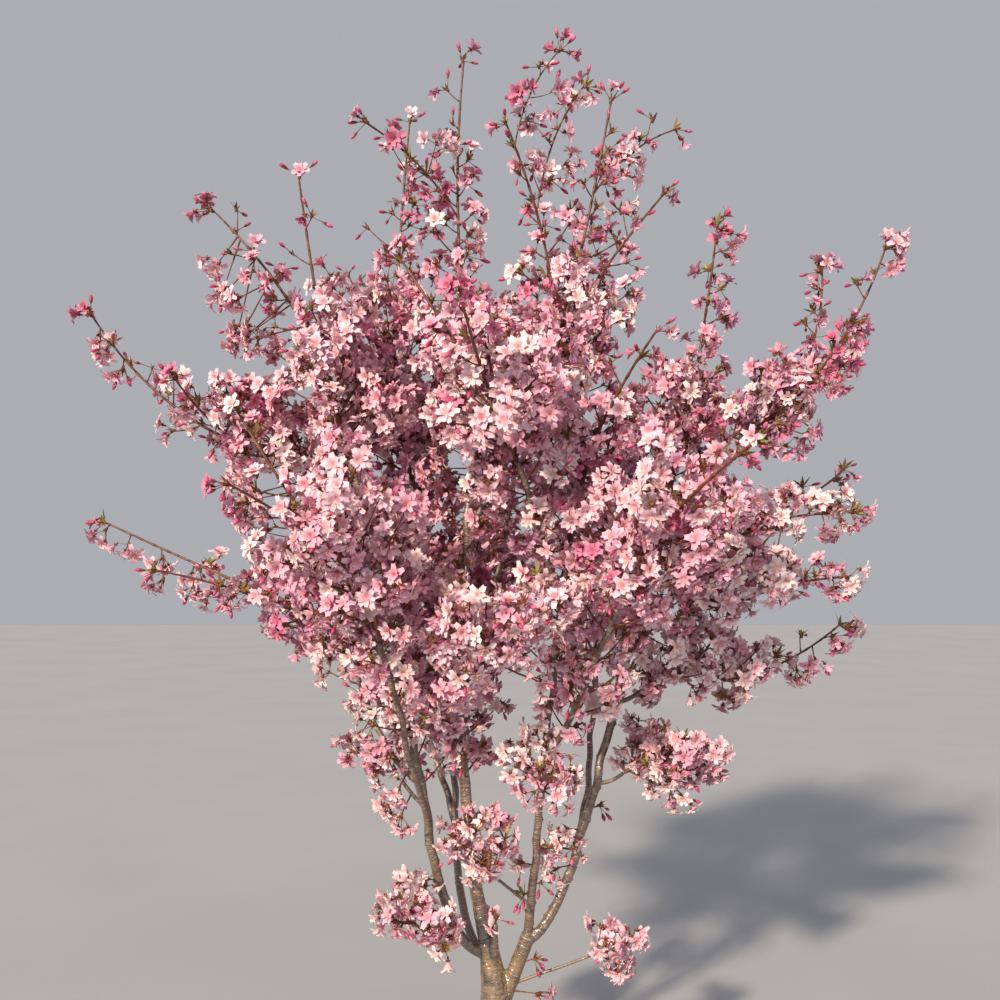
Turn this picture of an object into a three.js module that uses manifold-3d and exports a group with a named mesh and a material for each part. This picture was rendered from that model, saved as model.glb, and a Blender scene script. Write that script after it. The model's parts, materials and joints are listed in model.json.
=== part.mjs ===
// A young ornamental cherry in full blossom: a short trunk that forks low, long rising boughs,
// and masses of blossoming twigs that grow on from the tips of the boughs.
// Millimetres, +Z up, +X to the right, +Y to the back. The origin is the middle of the flat cut
// under the trunk, at ground level.
import * as THREE from "three";
import { mergeVertices } from "three/addons/utils/BufferGeometryUtils.js";
import Module from "manifold-3d";

const wasm = await Module();
wasm.setup();

// Trunk: it flares at the ground, thins to its waist and shoulder, and ends in a neck at the fork.
const TRUNK_HEIGHT = 228;
const TRUNK_LEAN = -17;
const TRUNK_LEAN_POWER = 3;
const WAIST_HEIGHT = 145;
const WAIST_RADIUS = 21.5;
const SHOULDER_HEIGHT = 182;
const SHOULDER_RADIUS = 17;
const NECK_RADIUS = 12;
const FLARE = 17;
const FLARE_FADE = 30;
const LOBES = 5;
const LOBE_SHARE = 0.45;
const TRUNK_SIDES = 20;
const TRUNK_RINGS = 9;

// How many sides each kind of limb has, and about how long one straight facet of it is.
const BOUGH_SIDES = 8;
const SPUR_SIDES = 5;
const SPUR_BELOW_RADIUS = 7;
const BOUGH_FACET = 85;
const STEM_SIDES = 5;
const STEM_FACET = 90;
const SHOOT_SIDES = 4;
const SHOOT_FACET = 100;
const TWIG_SIDES = 3;
const TWIG_FACET = 130;

// Clearances between solids.
const SEAT_GAP = 0.3;
const LIMB_CLEARANCE = 1.5;
const PETAL_CLEARANCE = 3;
const SPACE_MARGIN = 0.5;
const SAMPLE_PITCH = 7;
const MERGE_WITHIN = 1e-3;
const MOSTLY_ALONG = 0.7;
const NEARLY_ALONG = 0.01;

// Growth rule: stems and shoots carry twigs that turn round them by the golden angle. The twigs get
// shorter towards a shoot's tip, and each ends in a bloom. Long ones carry more blooms on stalks.
const STEM_END_RADIUS = 3.6;
const SHOOT_RADIUS = 2.6;
const SHOOT_TIP_RADIUS = 1.5;
const SHOOT_ROOT_SHARE = 0.72;
const SHOOT_FOLLOWS = 0.35;
const STEM_PITCH = 22;
const SHOOT_PITCH = 41;
const FEWEST_TWIGS = 8;
const TWIG_RADIUS = 1.7;
const ROOT_SHARE = 0.55;
const TWIG_TAPER = 0.6;
const TWIG_LONGEST = 105;
const TWIG_SHORTEST = 14;
const TWIG_GAIN = 0.14;
const STEM_TWIG_SHARE = 0.55;
const TWIG_FORWARD = 0.55;
const TWIG_RISE = 0.2;
const TWIG_TRIES = [1, 0.72, 0.48];
const LEAST_STRETCH = 0.7;
const STRETCH_SPREAD = 0.6;
const LEAST_LIFT = -0.4;
const LIFT_SPREAD = 1.3;
const JITTER = 0.3;
const STALK_PITCH = 46;
const STALK_LENGTH = 28;
const STALK_LIFT = 0.7;
const GOLDEN_TURN = Math.PI * (3 - Math.sqrt(5));
const FULL_TURN = 2 * Math.PI;
const FIRST_SEED = 101;
const SEED_STEP = 17;
const SEED_FACTOR = 48271;
const SEED_MODULUS = 2147483647;

// Blossom: each star stands for a cluster of flowers, so it is larger than one of them.
const BLOOM_RADIUS = 41;
const TIP_BLOOM_RADIUS = 22;
const BLOOM_SHARE = 0.75;
const SHOOT_TIP_SUNK = 0.06;
const BLOOM_SPACING = 1.64;
const TWIG_SPACING = 0.6;
const PETALS = 5;
const NOTCH_REACH = 0.5;
const CUP_RIM = 0.42;
const CUP_NOTCH = 0.24;
const CUP_HEART = 0.1;

// Each bough: the limb it leaves, the share of that limb's length where it does, the two points
// that pull it into its bow, its tip, and its radius at foot and tip.
const BOUGHS = [
  ["right_fork", "trunk", 0.58, [10, 0, 168], [26, -1, 205], [38, -2, 240], 11, 9.6],
  ["leader", "trunk", 0.9, [-40, 0, 300], [-72, 0, 560], [-32, 0, 900], 10, 5],
  ["left", "trunk", 0.93, [-108, -12, 226], [-80, -35, 480], [-190, -40, 850], 7.5, 4.5],
  ["back", "trunk", 0.9, [-70, 20, 228], [-68, 60, 400], [-60, 150, 650], 6.5, 4],
  ["centre", "right_fork", 0.93, [45, -12, 290], [50, -40, 450], [85, -85, 740], 6.5, 4],
  ["right", "right_fork", 0.9, [100, -4, 262], [130, 0, 470], [225, 0, 830], 7, 4.8],
  ["inner_left", "leader", 0.47, [-100, 5, 520], [-82, 25, 700], [-120, 50, 840], 5.5, 3.8],
  ["upper_right", "leader", 0.84, [-30, -10, 800], [5, -15, 860], [42, -18, 935], 4.6, 3.6],
  ["back_top", "leader", 0.6, [-45, 50, 610], [10, 100, 720], [20, 130, 870], 4.8, 3.5],
  ["left_mid", "left", 0.72, [-165, -15, 620], [-215, 10, 700], [-248, 20, 860], 4.4, 3.5],
  ["left_low", "left", 0.56, [-135, -15, 460], [-170, 0, 515], [-195, 5, 595], 4.2, 3.3],
  ["left_spur", "left", 0.52, [-112, -26, 425], [-122, -26, 435], [-132, -28, 450], 2.8, 2.4],
  ["front_left", "left", 0.48, [-104, -60, 450], [-120, -120, 530], [-140, -165, 640], 4.5, 3.4],
  ["front_low", "left", 0.64, [-100, -80, 525], [-75, -120, 550], [-50, -145, 595], 4, 3.2],
  ["back_left", "back", 0.55, [-80, 90, 430], [-130, 130, 560], [-160, 170, 700], 4.8, 3.5],
  ["back_right", "right", 0.4, [125, 50, 420], [135, 110, 540], [150, 165, 700], 4.8, 3.5],
  ["front_right", "centre", 0.62, [80, -80, 520], [105, -130, 580], [135, -180, 680], 4.4, 3.4],
  ["front_high", "centre", 0.9, [70, -105, 720], [45, -140, 770], [20, -170, 850], 3.9, 3.3],
  ["side", "centre", 0.82, [110, -70, 625], [160, -78, 645], [222, -88, 668], 3.2, 2.6],
  ["right_mid", "right", 0.78, [200, 18, 640], [245, 32, 690], [285, 40, 765], 4.4, 3.5],
  ["right_low", "right", 0.7, [172, 4, 552], [190, 8, 560], [212, 10, 574], 3.4, 2.8],
  ["right_out", "right", 0.96, [240, 5, 845], [268, 8, 868], [305, 10, 898], 4.2, 3.5],
  ["right_spur", "right", 0.55, [140, -4, 442], [152, -8, 446], [164, -12, 456], 2.8, 2.4],
  ["centre_spur", "centre", 0.52, [56, -48, 424], [56, -60, 432], [54, -74, 444], 2.8, 2.4],
  ["elbow_spur", "left", 0.22, [-68, -22, 252], [-74, -30, 250], [-80, -40, 252], 2.8, 2.4],
  ["crossing_twig", "centre", 0.2, [25, -20, 295], [8, -26, 312], [-8, -32, 326], 2.3, 1.9],
  ["low_twig", "right_fork", 0.35, [45, -4, 186], [80, -8, 197], [118, -12, 214], 2.1, 1.8],
];

// Each mass: the bough that carries it, its heart where its stem ends, how far it reaches into the
// crown, and its long shoots. A shoot has the carrier it leaves (0 is the stem, then the shoots in
// order), the share of that carrier's length where it does, and its tip.
const MASSES = [
  ["leader", [-45, -5, 1035], 130, [[0, 1, [-49, 20, 1412]], [1, 0.42, [-168, -90, 1283]]]],
  ["inner_left", [-150, 90, 1020], 160, [[0, 1, [-131, 125, 1375]], [0, 0.7, [-230, 190, 1170]]]],
  ["left", [-225, -35, 990], 150, [[0, 0.9, [-255, -70, 1222]], [0, 1, [-392, 30, 1215]]]],
  ["left_mid", [-332, 0, 884], 162, [[0, 1, [-544, 0, 1064]], [0, 0.8, [-398, -110, 958]]]],
  ["left_low", [-285, 10, 680], 125, [[0, 1, [-542, 40, 790]], [0, 0.5, [-440, -60, 724]]]],
  ["left_spur", [-154, -45, 503], 72, []],
  ["upper_right", [85, 0, 1045], 150, [
    [0, 0.8, [8, -80, 1285]],
    [1, 0.9, [76, -60, 1388]],
    [1, 0.6, [114, 30, 1383]],
    [0, 0.9, [146, -20, 1340]],
    [4, 0.62, [247, 80, 1345]],
    [0, 0.9, [205, -80, 1196]],
  ]],
  ["right", [255, -10, 955], 130, [[0, 0.9, [302, 60, 1201]]]],
  ["right_out", [370, 5, 930], 115, [
    [0, 1, [513, 0, 1151]],
    [0, 0.9, [451, 70, 1144]],
    [0, 0.8, [443, -70, 1031]],
    [0, 0.6, [405, -150, 982]],
  ]],
  ["right_mid", [365, 45, 800], 98, [[0, 1, [490, 95, 868]], [0, 0.8, [462, -20, 802]]]],
  ["side", [335, -115, 705], 100, [[0, 1, [415, -125, 716]]]],
  ["right_low", [305, 20, 575], 110, [[0, 1, [455, 10, 650]]]],
  ["right_spur", [235, -14, 452], 95, []],
  ["centre", [120, -105, 900], 105, [[0, 0.9, [180, -190, 1000]]]],
  ["centre_spur", [46, -104, 468], 78, []],
  ["front_high", [-10, -235, 915], 145, [[0, 0.9, [-40, -370, 1000]], [0, 0.8, [-110, -230, 1070]]]],
  ["front_left", [-200, -235, 760], 150, [[0, 0.9, [-270, -350, 810]], [0, 0.9, [-290, -240, 900]]]],
  ["front_right", [200, -250, 800], 150, [[0, 0.9, [250, -370, 850]], [0, 0.9, [310, -220, 890]]]],
  ["front_low", [-10, -225, 650], 130, [[0, 1, [20, -350, 690]]]],
  ["back", [-20, 235, 740], 130, [[0, 1, [-10, 350, 800]]]],
  ["back_left", [-225, 220, 810], 124, [[0, 1, [-350, 270, 890]], [0, 0.7, [-260, 340, 800]]]],
  ["back_right", [215, 220, 810], 150, [[0, 1, [340, 270, 900]], [0, 0.7, [260, 340, 800]]]],
  ["back_top", [30, 190, 1020], 150, [[0, 1, [110, 250, 1170]], [0, 0.9, [-50, 290, 1120]]]],
  ["elbow_spur", [-112, -60, 276], 72, []],
  ["crossing_twig", [-22, -50, 366], 75, []],
  ["low_twig", [164, -16, 222], 60, []],
];

// Numbers that follow one another by a fixed rule from a seed, evenly spread between 0 and 1.
class Seeded {
  constructor(seed) {
    this.state = seed;
  }

  next() {
    this.state = (this.state * SEED_FACTOR) % SEED_MODULUS;
    return this.state / SEED_MODULUS;
  }
}

const vector = (place) => new THREE.Vector3(...place);

// A solid from a closed geometry.
function solidOf(geometry) {
  geometry.deleteAttribute("normal");
  geometry.deleteAttribute("uv");
  const merged = mergeVertices(geometry, MERGE_WITHIN);
  const corners = Array.from(merged.index.array);
  const kept = [];
  for (let i = 0; i < corners.length; i += 3) {
    const [a, b, c] = corners.slice(i, i + 3);
    if (a !== b && b !== c && c !== a) kept.push(a, b, c);
  }
  return new wasm.Manifold(
    new wasm.Mesh({
      numProp: 3,
      vertProperties: merged.attributes.position.array,
      triVerts: new Uint32Array(kept),
    }),
  );
}

// The largest body of a solid, with the hollows that joining sealed inside it filled.
function wholeBody(solid) {
  const bodies = solid.decompose();
  return bodies.reduce((best, body) => (body.volume() > best.volume() ? body : best));
}

function meshOf(name, solid, finish) {
  const { vertProperties, triVerts, numProp } = solid.getMesh();
  const geometry = new THREE.BufferGeometry();
  geometry.setAttribute("position", new THREE.BufferAttribute(vertProperties, numProp));
  geometry.setIndex(new THREE.BufferAttribute(triVerts, 1));
  const mesh = new THREE.Mesh(geometry, new THREE.MeshStandardMaterial(finish));
  mesh.name = name;
  return mesh;
}

// An axis that lies well across a curve, by which its rings are turned alike.
function crosswise(curve) {
  const chord = curve.getPoint(1).sub(curve.getPoint(0)).normalize();
  return Math.abs(chord.y) < MOSTLY_ALONG ? vector([0, 1, 0]) : vector([1, 0, 0]);
}

// A limb's radius at a share of its length.
function radiusAt(limb, share) {
  return THREE.MathUtils.lerp(limb.foot, limb.end, share);
}

// A closed tapering limb, grown by a little where another is to be cut clear of it: the rings of a
// cylinder carried along the limb's curve and scaled to its radius.
function limbSolid(limb, grown = 0) {
  const { curve, sides, rings } = limb;
  const geometry = new THREE.CylinderGeometry(1, 1, 1, sides, rings);
  const places = geometry.getAttribute("position");
  const reference = crosswise(curve);
  for (let i = 0; i < places.count; i += 1) {
    const share = THREE.MathUtils.clamp(places.getY(i) + 0.5, 0, 1);
    const radius = radiusAt(limb, share) + grown;
    const along = curve.getTangent(share);
    const across = reference.clone().cross(along).normalize();
    const outward = across.clone().cross(along);
    const place = curve.getPoint(share);
    place.addScaledVector(across, places.getX(i) * radius);
    place.addScaledVector(outward, places.getZ(i) * radius);
    places.setXYZ(i, ...place.toArray());
  }
  return solidOf(geometry);
}

// A place on a limb's middle line, which runs straight from ring to ring as its solid does.
function onLine(limb, share) {
  const ring = Math.min(Math.floor(share * limb.rings), limb.rings - 1);
  const near = limb.curve.getPoint(ring / limb.rings);
  return near.lerp(limb.curve.getPoint((ring + 1) / limb.rings), share * limb.rings - ring);
}

// Trunk: radius at a height, and how far its middle has moved sideways there.
function trunkRadius(height) {
  const { lerp, inverseLerp } = THREE.MathUtils;
  if (height <= WAIST_HEIGHT) return WAIST_RADIUS;
  if (height <= SHOULDER_HEIGHT) {
    return lerp(WAIST_RADIUS, SHOULDER_RADIUS, inverseLerp(WAIST_HEIGHT, SHOULDER_HEIGHT, height));
  }
  return lerp(SHOULDER_RADIUS, NECK_RADIUS, inverseLerp(SHOULDER_HEIGHT, TRUNK_HEIGHT, height));
}

function trunkMiddle(height) {
  return TRUNK_LEAN * (height / TRUNK_HEIGHT) ** TRUNK_LEAN_POWER;
}

// The trunk keeps level rings, so that it ends in a flat cut at the ground.
function trunkGeometry(grown = 0) {
  const geometry = new THREE.CylinderGeometry(1, 1, TRUNK_HEIGHT, TRUNK_SIDES, TRUNK_RINGS);
  const places = geometry.getAttribute("position");
  for (let i = 0; i < places.count; i += 1) {
    const height = places.getY(i) + TRUNK_HEIGHT / 2;
    const turn = Math.atan2(places.getZ(i), places.getX(i));
    const lobe = 1 + LOBE_SHARE * Math.cos(LOBES * turn);
    const flare = FLARE * Math.exp(-height / FLARE_FADE) * lobe;
    const radius = trunkRadius(height) + flare + grown;
    const x = trunkMiddle(height) + radius * places.getX(i);
    const rise = height === TRUNK_HEIGHT ? height + grown : height;
    places.setXYZ(i, x, -radius * places.getZ(i), rise);
  }
  return geometry;
}

// The limbs stand in a table by name. Each one springs from inside the limb it leaves and is cut
// clear of the limbs made before it.
const trunkLine = new THREE.LineCurve3(vector([0, 0, 0]), vector([TRUNK_LEAN, 0, TRUNK_HEIGHT]));
trunkLine.getPoint = (share) => vector([trunkMiddle(share * TRUNK_HEIGHT), 0, share * TRUNK_HEIGHT]);
const limbs = { trunk: { curve: trunkLine, rings: TRUNK_RINGS, solid: solidOf(trunkGeometry()) } };
let keptClear = solidOf(trunkGeometry(SEAT_GAP));
for (const [name, parent, at, first, second, tip, foot, end] of BOUGHS) {
  const start = onLine(limbs[parent], at);
  const curve = new THREE.CubicBezierCurve3(start, vector(first), vector(second), vector(tip));
  const sides = foot < SPUR_BELOW_RADIUS ? SPUR_SIDES : BOUGH_SIDES;
  const rings = Math.ceil(curve.getLength() / BOUGH_FACET);
  const limb = { curve, foot, end, sides, rings };
  limb.solid = wholeBody(limbSolid(limb).subtract(keptClear));
  keptClear = keptClear.add(limbSolid(limb, SEAT_GAP));
  limbs[name] = limb;
}

// Points along every bough, with its radius there, against which twigs and blossom are kept clear.
const limbPoints = [];
for (const [name] of BOUGHS) {
  const limb = limbs[name];
  const count = Math.ceil(limb.curve.getLength() / SAMPLE_PITCH);
  for (let i = 0; i <= count; i += 1) {
    limbPoints.push({ place: onLine(limb, i / count), radius: radiusAt(limb, i / count) });
  }
}

function clearOfLimbs(place, room) {
  return limbPoints.every((limb) => limb.place.distanceTo(place) > limb.radius + room);
}

// A mass keeps to the space that is nearer to its own heart than to any other, weighed by reach.
function insideSpace(mass, place) {
  return MASSES.every(([name, heart, reach]) => {
    if (name === mass.name) return true;
    const other = vector(heart);
    const apart = other.distanceTo(mass.heart);
    const mine = place.distanceToSquared(mass.heart) - mass.reach ** 2;
    const theirs = place.distanceToSquared(other) - reach ** 2;
    return theirs - mine > 2 * apart * SPACE_MARGIN;
  });
}

// A branch sets out one way and bends towards its tip.
function branch(start, way, tip, foot, end, sides, facet) {
  const length = start.distanceTo(tip);
  const pull = start.clone().addScaledVector(way, length / 2);
  const curve = new THREE.QuadraticBezierCurve3(start, pull, tip);
  return { curve, length, foot, end, sides, rings: Math.ceil(length / facet) };
}

// The stem sets out from the bough's tip, 0.3 mm clear of it, and each shoot from its carrier.
function carriersOf(mass, shoots) {
  const { curve, end } = limbs[mass.name];
  const way = curve.getTangent(1);
  const start = curve.getPoint(1).addScaledVector(way, SEAT_GAP);
  const stemEnd = Math.min(end, STEM_END_RADIUS);
  const carriers = [branch(start, way, mass.heart, end, stemEnd, STEM_SIDES, STEM_FACET)];
  for (const [on, at, tip] of shoots) {
    const from = onLine(carriers[on], at);
    const straight = vector(tip).sub(from).normalize();
    const set = straight.lerp(carriers[on].curve.getTangent(at), SHOOT_FOLLOWS).normalize();
    const foot = Math.min(SHOOT_RADIUS, SHOOT_ROOT_SHARE * radiusAt(carriers[on], at));
    const end = Math.min(foot, SHOOT_TIP_RADIUS);
    carriers.push(branch(from, set, vector(tip), foot, end, SHOOT_SIDES, SHOOT_FACET));
  }
  return carriers;
}

// A twig from a share of its carrier's length, thin enough there for its root to lie inside.
function twigFrom(carrier, share, way, tip) {
  const foot = Math.min(TWIG_RADIUS, ROOT_SHARE * radiusAt(carrier, share));
  return branch(onLine(carrier, share), way, tip, foot, TWIG_TAPER * foot, TWIG_SIDES, TWIG_FACET);
}

// A way out to the side of a carrier, turned round it and lifted.
function sideways(along, turn, lift) {
  const level = Math.sqrt(1 - lift * lift);
  const way = vector([level * Math.cos(turn), level * Math.sin(turn), lift]);
  way.addScaledVector(along, -way.dot(along));
  return way.lengthSq() < NEARLY_ALONG ? vector([along.z, along.x, along.y]) : way.normalize();
}

// A closed skin over rings of points that follow one another. A ring of one point closes an end.
function loft(rings) {
  const corners = [];
  for (let r = 0; r + 1 < rings.length; r += 1) {
    const [near, far] = [rings[r], rings[r + 1]];
    let [i, j] = [0, 0];
    while (i < near.length || j < far.length) {
      const stepNear = near.length > 1 && (i + 1) / near.length <= (j + 1) / far.length;
      if (far.length === 1 || stepNear) {
        corners.push(near[i], near[(i + 1) % near.length], far[j % far.length]);
        i += 1;
        if (far.length === 1 && i === near.length) break;
      } else {
        corners.push(near[i % near.length], far[(j + 1) % far.length], far[j]);
        j += 1;
        if (near.length === 1 && j === far.length) break;
      }
    }
  }
  return new THREE.BufferGeometry().setFromPoints(corners);
}

// A ring of points round a way, each with its own reach out and forward.
function ring(middle, way, reference, reaches, forwards, turn) {
  const across = reference.clone().cross(way).normalize();
  const up = way.clone().cross(across);
  return reaches.map((reach, i) => {
    const angle = turn + (FULL_TURN * i) / reaches.length;
    const place = middle.clone().addScaledVector(way, forwards[i]);
    place.addScaledVector(across, reach * Math.cos(angle));
    return place.addScaledVector(up, reach * Math.sin(angle));
  });
}

// A twig of three sides that opens at its tip into a five-pointed bloom.
function bloomingTwig(twig, radius, turn) {
  const { curve } = twig;
  const [start, tip, way] = [curve.getPoint(0), curve.getPoint(1), curve.getTangent(1)];
  const thick = (size) => new Array(TWIG_SIDES).fill(size);
  const level = new Array(TWIG_SIDES).fill(0);
  const petals = Array.from({ length: 2 * PETALS }, (_, i) => i % 2 === 0);
  const reaches = petals.map((out) => (out ? radius : NOTCH_REACH * radius));
  const forwards = petals.map((out) => (out ? CUP_RIM : CUP_NOTCH) * radius);
  const reference = crosswise(curve);
  const rim = ring(tip, way, reference, reaches, forwards, turn);
  const heart = tip.clone().addScaledVector(way, CUP_HEART * radius);
  const skin = [[start]];
  for (let i = 0; i <= twig.rings; i += 1) {
    const share = i / twig.rings;
    const [middle, along] = [curve.getPoint(share), curve.getTangent(share)];
    skin.push(ring(middle, along, reference, thick(radiusAt(twig, share)), level, turn));
  }
  skin.push(rim, [heart]);
  return { ...twig, skin, rim, heart, radius };
}

// Points along a twig from past its foot to its tip, where its own bloom sits.
function pointsOn(twig) {
  const steps = Math.ceil(twig.length / SAMPLE_PITCH);
  return Array.from({ length: steps }, (_, step) => onLine(twig, (step + 1) / steps));
}

// A twig is kept where all of it stays in the mass's space, clear of the limbs and of other blooms.
function fits(mass, twig, grown) {
  const midway = (place, other) => place.clone().add(other).divideScalar(2);
  const edges = twig.rim.map((place, i) => midway(place, twig.rim[(i + 1) % twig.rim.length]));
  const petals = [...twig.rim, ...edges, ...twig.rim.map((place) => midway(place, twig.heart))];
  const places = pointsOn(twig);
  const apart = grown.every((other) => {
    const room = (BLOOM_SPACING * (twig.radius + other.radius)) / 2;
    if (other.heart.distanceTo(twig.heart) < room) return false;
    if (pointsOn(other).some((place) => place.distanceTo(twig.heart) < TWIG_SPACING * twig.radius)) {
      return false;
    }
    return places.every((place) => place.distanceTo(other.heart) > TWIG_SPACING * other.radius);
  });
  if (!apart) return false;
  if (!places.every((place) => clearOfLimbs(place, TWIG_RADIUS + LIMB_CLEARANCE))) return false;
  if (!petals.every((place) => clearOfLimbs(place, PETAL_CLEARANCE))) return false;
  return [...places, ...twig.rim].every((place) => insideSpace(mass, place));
}

// Twigs of one carrier, with the stalks that long ones carry.
function growOn(mass, carrier, isStem, rule, grown) {
  const pitch = isStem ? STEM_PITCH : SHOOT_PITCH;
  const count = Math.max(isStem ? FEWEST_TWIGS : 1, Math.floor(carrier.length / pitch));
  const phase = FULL_TURN * rule.next();
  for (let i = 0; i < count; i += 1) {
    const share = (i + 0.5 + JITTER * (rule.next() - 0.5)) / count;
    const lift = LEAST_LIFT + LIFT_SPREAD * rule.next();
    const stretch = LEAST_STRETCH + STRETCH_SPREAD * rule.next();
    const turn = FULL_TURN * rule.next();
    const tapered = TWIG_SHORTEST + TWIG_GAIN * (1 - share) * carrier.length;
    const wanted = isStem ? STEM_TWIG_SHARE * mass.reach : tapered;
    const full = stretch * Math.min(TWIG_LONGEST, wanted);
    const along = carrier.curve.getTangent(share);
    const way = sideways(along, phase + i * GOLDEN_TURN, lift);
    way.addScaledVector(along, TWIG_FORWARD).normalize();
    const start = onLine(carrier, share);
    for (const size of TWIG_TRIES) {
      const length = size * full;
      const tip = start.clone().addScaledVector(way, length);
      tip.z += TWIG_RISE * length;
      const radius = THREE.MathUtils.clamp(BLOOM_SHARE * length, TIP_BLOOM_RADIUS, BLOOM_RADIUS);
      const blooming = bloomingTwig(twigFrom(carrier, share, way, tip), radius, turn);
      if (fits(mass, blooming, grown)) {
        grown.push(blooming);
        growStalks(mass, blooming, rule, grown);
        break;
      }
    }
  }
}

// Blooms on short stalks along a long twig.
function growStalks(mass, twig, rule, grown) {
  const count = Math.floor(twig.length / STALK_PITCH);
  for (let i = 0; i < count; i += 1) {
    const share = (i + 0.5) / (count + 0.5);
    const along = twig.curve.getTangent(share);
    const around = FULL_TURN * rule.next();
    const way = sideways(along, around, STALK_LIFT * (2 * rule.next() - 1));
    way.addScaledVector(along, TWIG_FORWARD).normalize();
    const start = onLine(twig, share);
    const tip = start.clone().addScaledVector(way, STALK_LENGTH);
    const stalk = twigFrom(twig, share, way, tip);
    const blooming = bloomingTwig(stalk, BLOOM_RADIUS, FULL_TURN * rule.next());
    if (fits(mass, blooming, grown)) grown.push(blooming);
  }
}

// A mass: its carriers, a bloom on the tip of each shoot, and all that grows on them, joined.
function massSolid(mass, shoots, seed) {
  const rule = new Seeded(seed);
  const carriers = carriersOf(mass, shoots);
  const grown = [];
  for (const shoot of carriers.slice(1)) {
    const [way, tip] = [shoot.curve.getTangent(1), shoot.curve.getPoint(1)];
    const stalk = twigFrom(shoot, 1 - SHOOT_TIP_SUNK, way, tip);
    const blooming = bloomingTwig(stalk, TIP_BLOOM_RADIUS, FULL_TURN * rule.next());
    if (fits(mass, blooming, grown)) grown.push(blooming);
  }
  carriers.forEach((carrier, index) => growOn(mass, carrier, index === 0, rule, grown));
  const pieces = carriers.map((limb) => limbSolid(limb));
  pieces.push(...grown.map((twig) => solidOf(loft(twig.skin))));
  return wholeBody(pieces.reduce((whole, piece) => whole.add(piece)));
}

// Finishes
const BARK = { color: 0x6b5146, roughness: 0.55, metalness: 0 };
const BLOSSOM = { color: 0xe9aebd, roughness: 0.6, metalness: 0 };

const tree = new THREE.Group();
tree.add(meshOf("trunk", limbs.trunk.solid, BARK));
for (const [name] of BOUGHS) {
  tree.add(meshOf(`bough_${name}`, limbs[name].solid, BARK));
}
MASSES.forEach(([name, heart, reach, shoots], index) => {
  const mass = { name, heart: vector(heart), reach };
  const seed = FIRST_SEED + SEED_STEP * index;
  tree.add(meshOf(`blossom_${name}`, massSolid(mass, shoots, seed), BLOSSOM));
});

export default tree;
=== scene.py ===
"""A young ornamental cherry in full blossom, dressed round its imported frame.

The boughs, stems, shoots and twigs follow the growth rule of the part's source, written again here and
carried on to finer twigs, umbels of flowers, buds and tufts of young leaves. Growth is worked out in
millimetres, as the part is, and every mesh is written in metres.
"""

import json
import logging
import math
from dataclasses import dataclass, field
from enum import Enum

import bmesh
import bpy
import numpy as np
from mathutils import Matrix, Vector

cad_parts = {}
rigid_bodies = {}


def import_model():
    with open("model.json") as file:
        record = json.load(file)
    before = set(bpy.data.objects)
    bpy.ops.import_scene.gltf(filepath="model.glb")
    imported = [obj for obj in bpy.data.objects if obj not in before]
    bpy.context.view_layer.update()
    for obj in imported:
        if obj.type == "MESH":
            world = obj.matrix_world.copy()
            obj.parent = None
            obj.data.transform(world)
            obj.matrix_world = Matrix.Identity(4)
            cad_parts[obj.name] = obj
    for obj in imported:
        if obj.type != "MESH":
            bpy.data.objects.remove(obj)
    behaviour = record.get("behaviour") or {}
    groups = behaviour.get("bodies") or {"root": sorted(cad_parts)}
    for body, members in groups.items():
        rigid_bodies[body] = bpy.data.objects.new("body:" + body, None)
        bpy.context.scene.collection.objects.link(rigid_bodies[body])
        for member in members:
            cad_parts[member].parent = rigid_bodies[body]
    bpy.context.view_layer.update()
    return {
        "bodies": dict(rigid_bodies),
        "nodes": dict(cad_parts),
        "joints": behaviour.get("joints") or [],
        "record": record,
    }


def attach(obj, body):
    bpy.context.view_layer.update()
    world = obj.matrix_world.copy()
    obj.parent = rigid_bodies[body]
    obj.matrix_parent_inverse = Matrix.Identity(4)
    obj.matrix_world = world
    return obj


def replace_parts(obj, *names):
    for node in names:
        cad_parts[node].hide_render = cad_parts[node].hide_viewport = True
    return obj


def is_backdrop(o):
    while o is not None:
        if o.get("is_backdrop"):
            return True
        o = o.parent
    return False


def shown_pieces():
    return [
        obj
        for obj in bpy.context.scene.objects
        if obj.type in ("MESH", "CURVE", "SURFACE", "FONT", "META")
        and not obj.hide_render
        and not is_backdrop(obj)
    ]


log = logging.getLogger("cherry")

MM = 0.001
FULL_TURN = 2 * math.pi
GOLDEN_TURN = math.pi * (3 - math.sqrt(5))

Triple = tuple[float, float, float]
# The least value of something that chance sets, and how much chance may add to it.
Span = tuple[float, float]

# The way from the tree to the low sun. It also sets which blossom gets the paler tints of painted sunlight
# and which the darker tints of painted shade.
LIGHT_WAY: Triple = (-0.43, -0.78, 0.46)


@dataclass(frozen=True)
class Bough:
    """One row of the boughs' table: where a bough leaves its parent, its bow, its tip and its radii."""

    name: str
    parent: str
    share: float
    first: Triple
    second: Triple
    tip: Triple
    foot: float
    end: float


@dataclass(frozen=True)
class Shoot:
    """A long shoot of a mass: the carrier it leaves, the share of that carrier's length, and its tip."""

    carrier: int
    share: float
    tip: Triple


@dataclass(frozen=True)
class Mass:
    """A mass of blossom: its bough's name, its heart, its reach into the crown and its shoots."""

    name: str
    heart: Triple
    reach: float
    shoots: tuple[Shoot, ...] = ()


@dataclass(frozen=True)
class Posy:
    """A cluster on a short spur of a bough or shoot: its place, way and length, its flowers and buds."""

    bough: str
    share: float
    way: Triple
    length: float
    flowers: int
    buds: int


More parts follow.
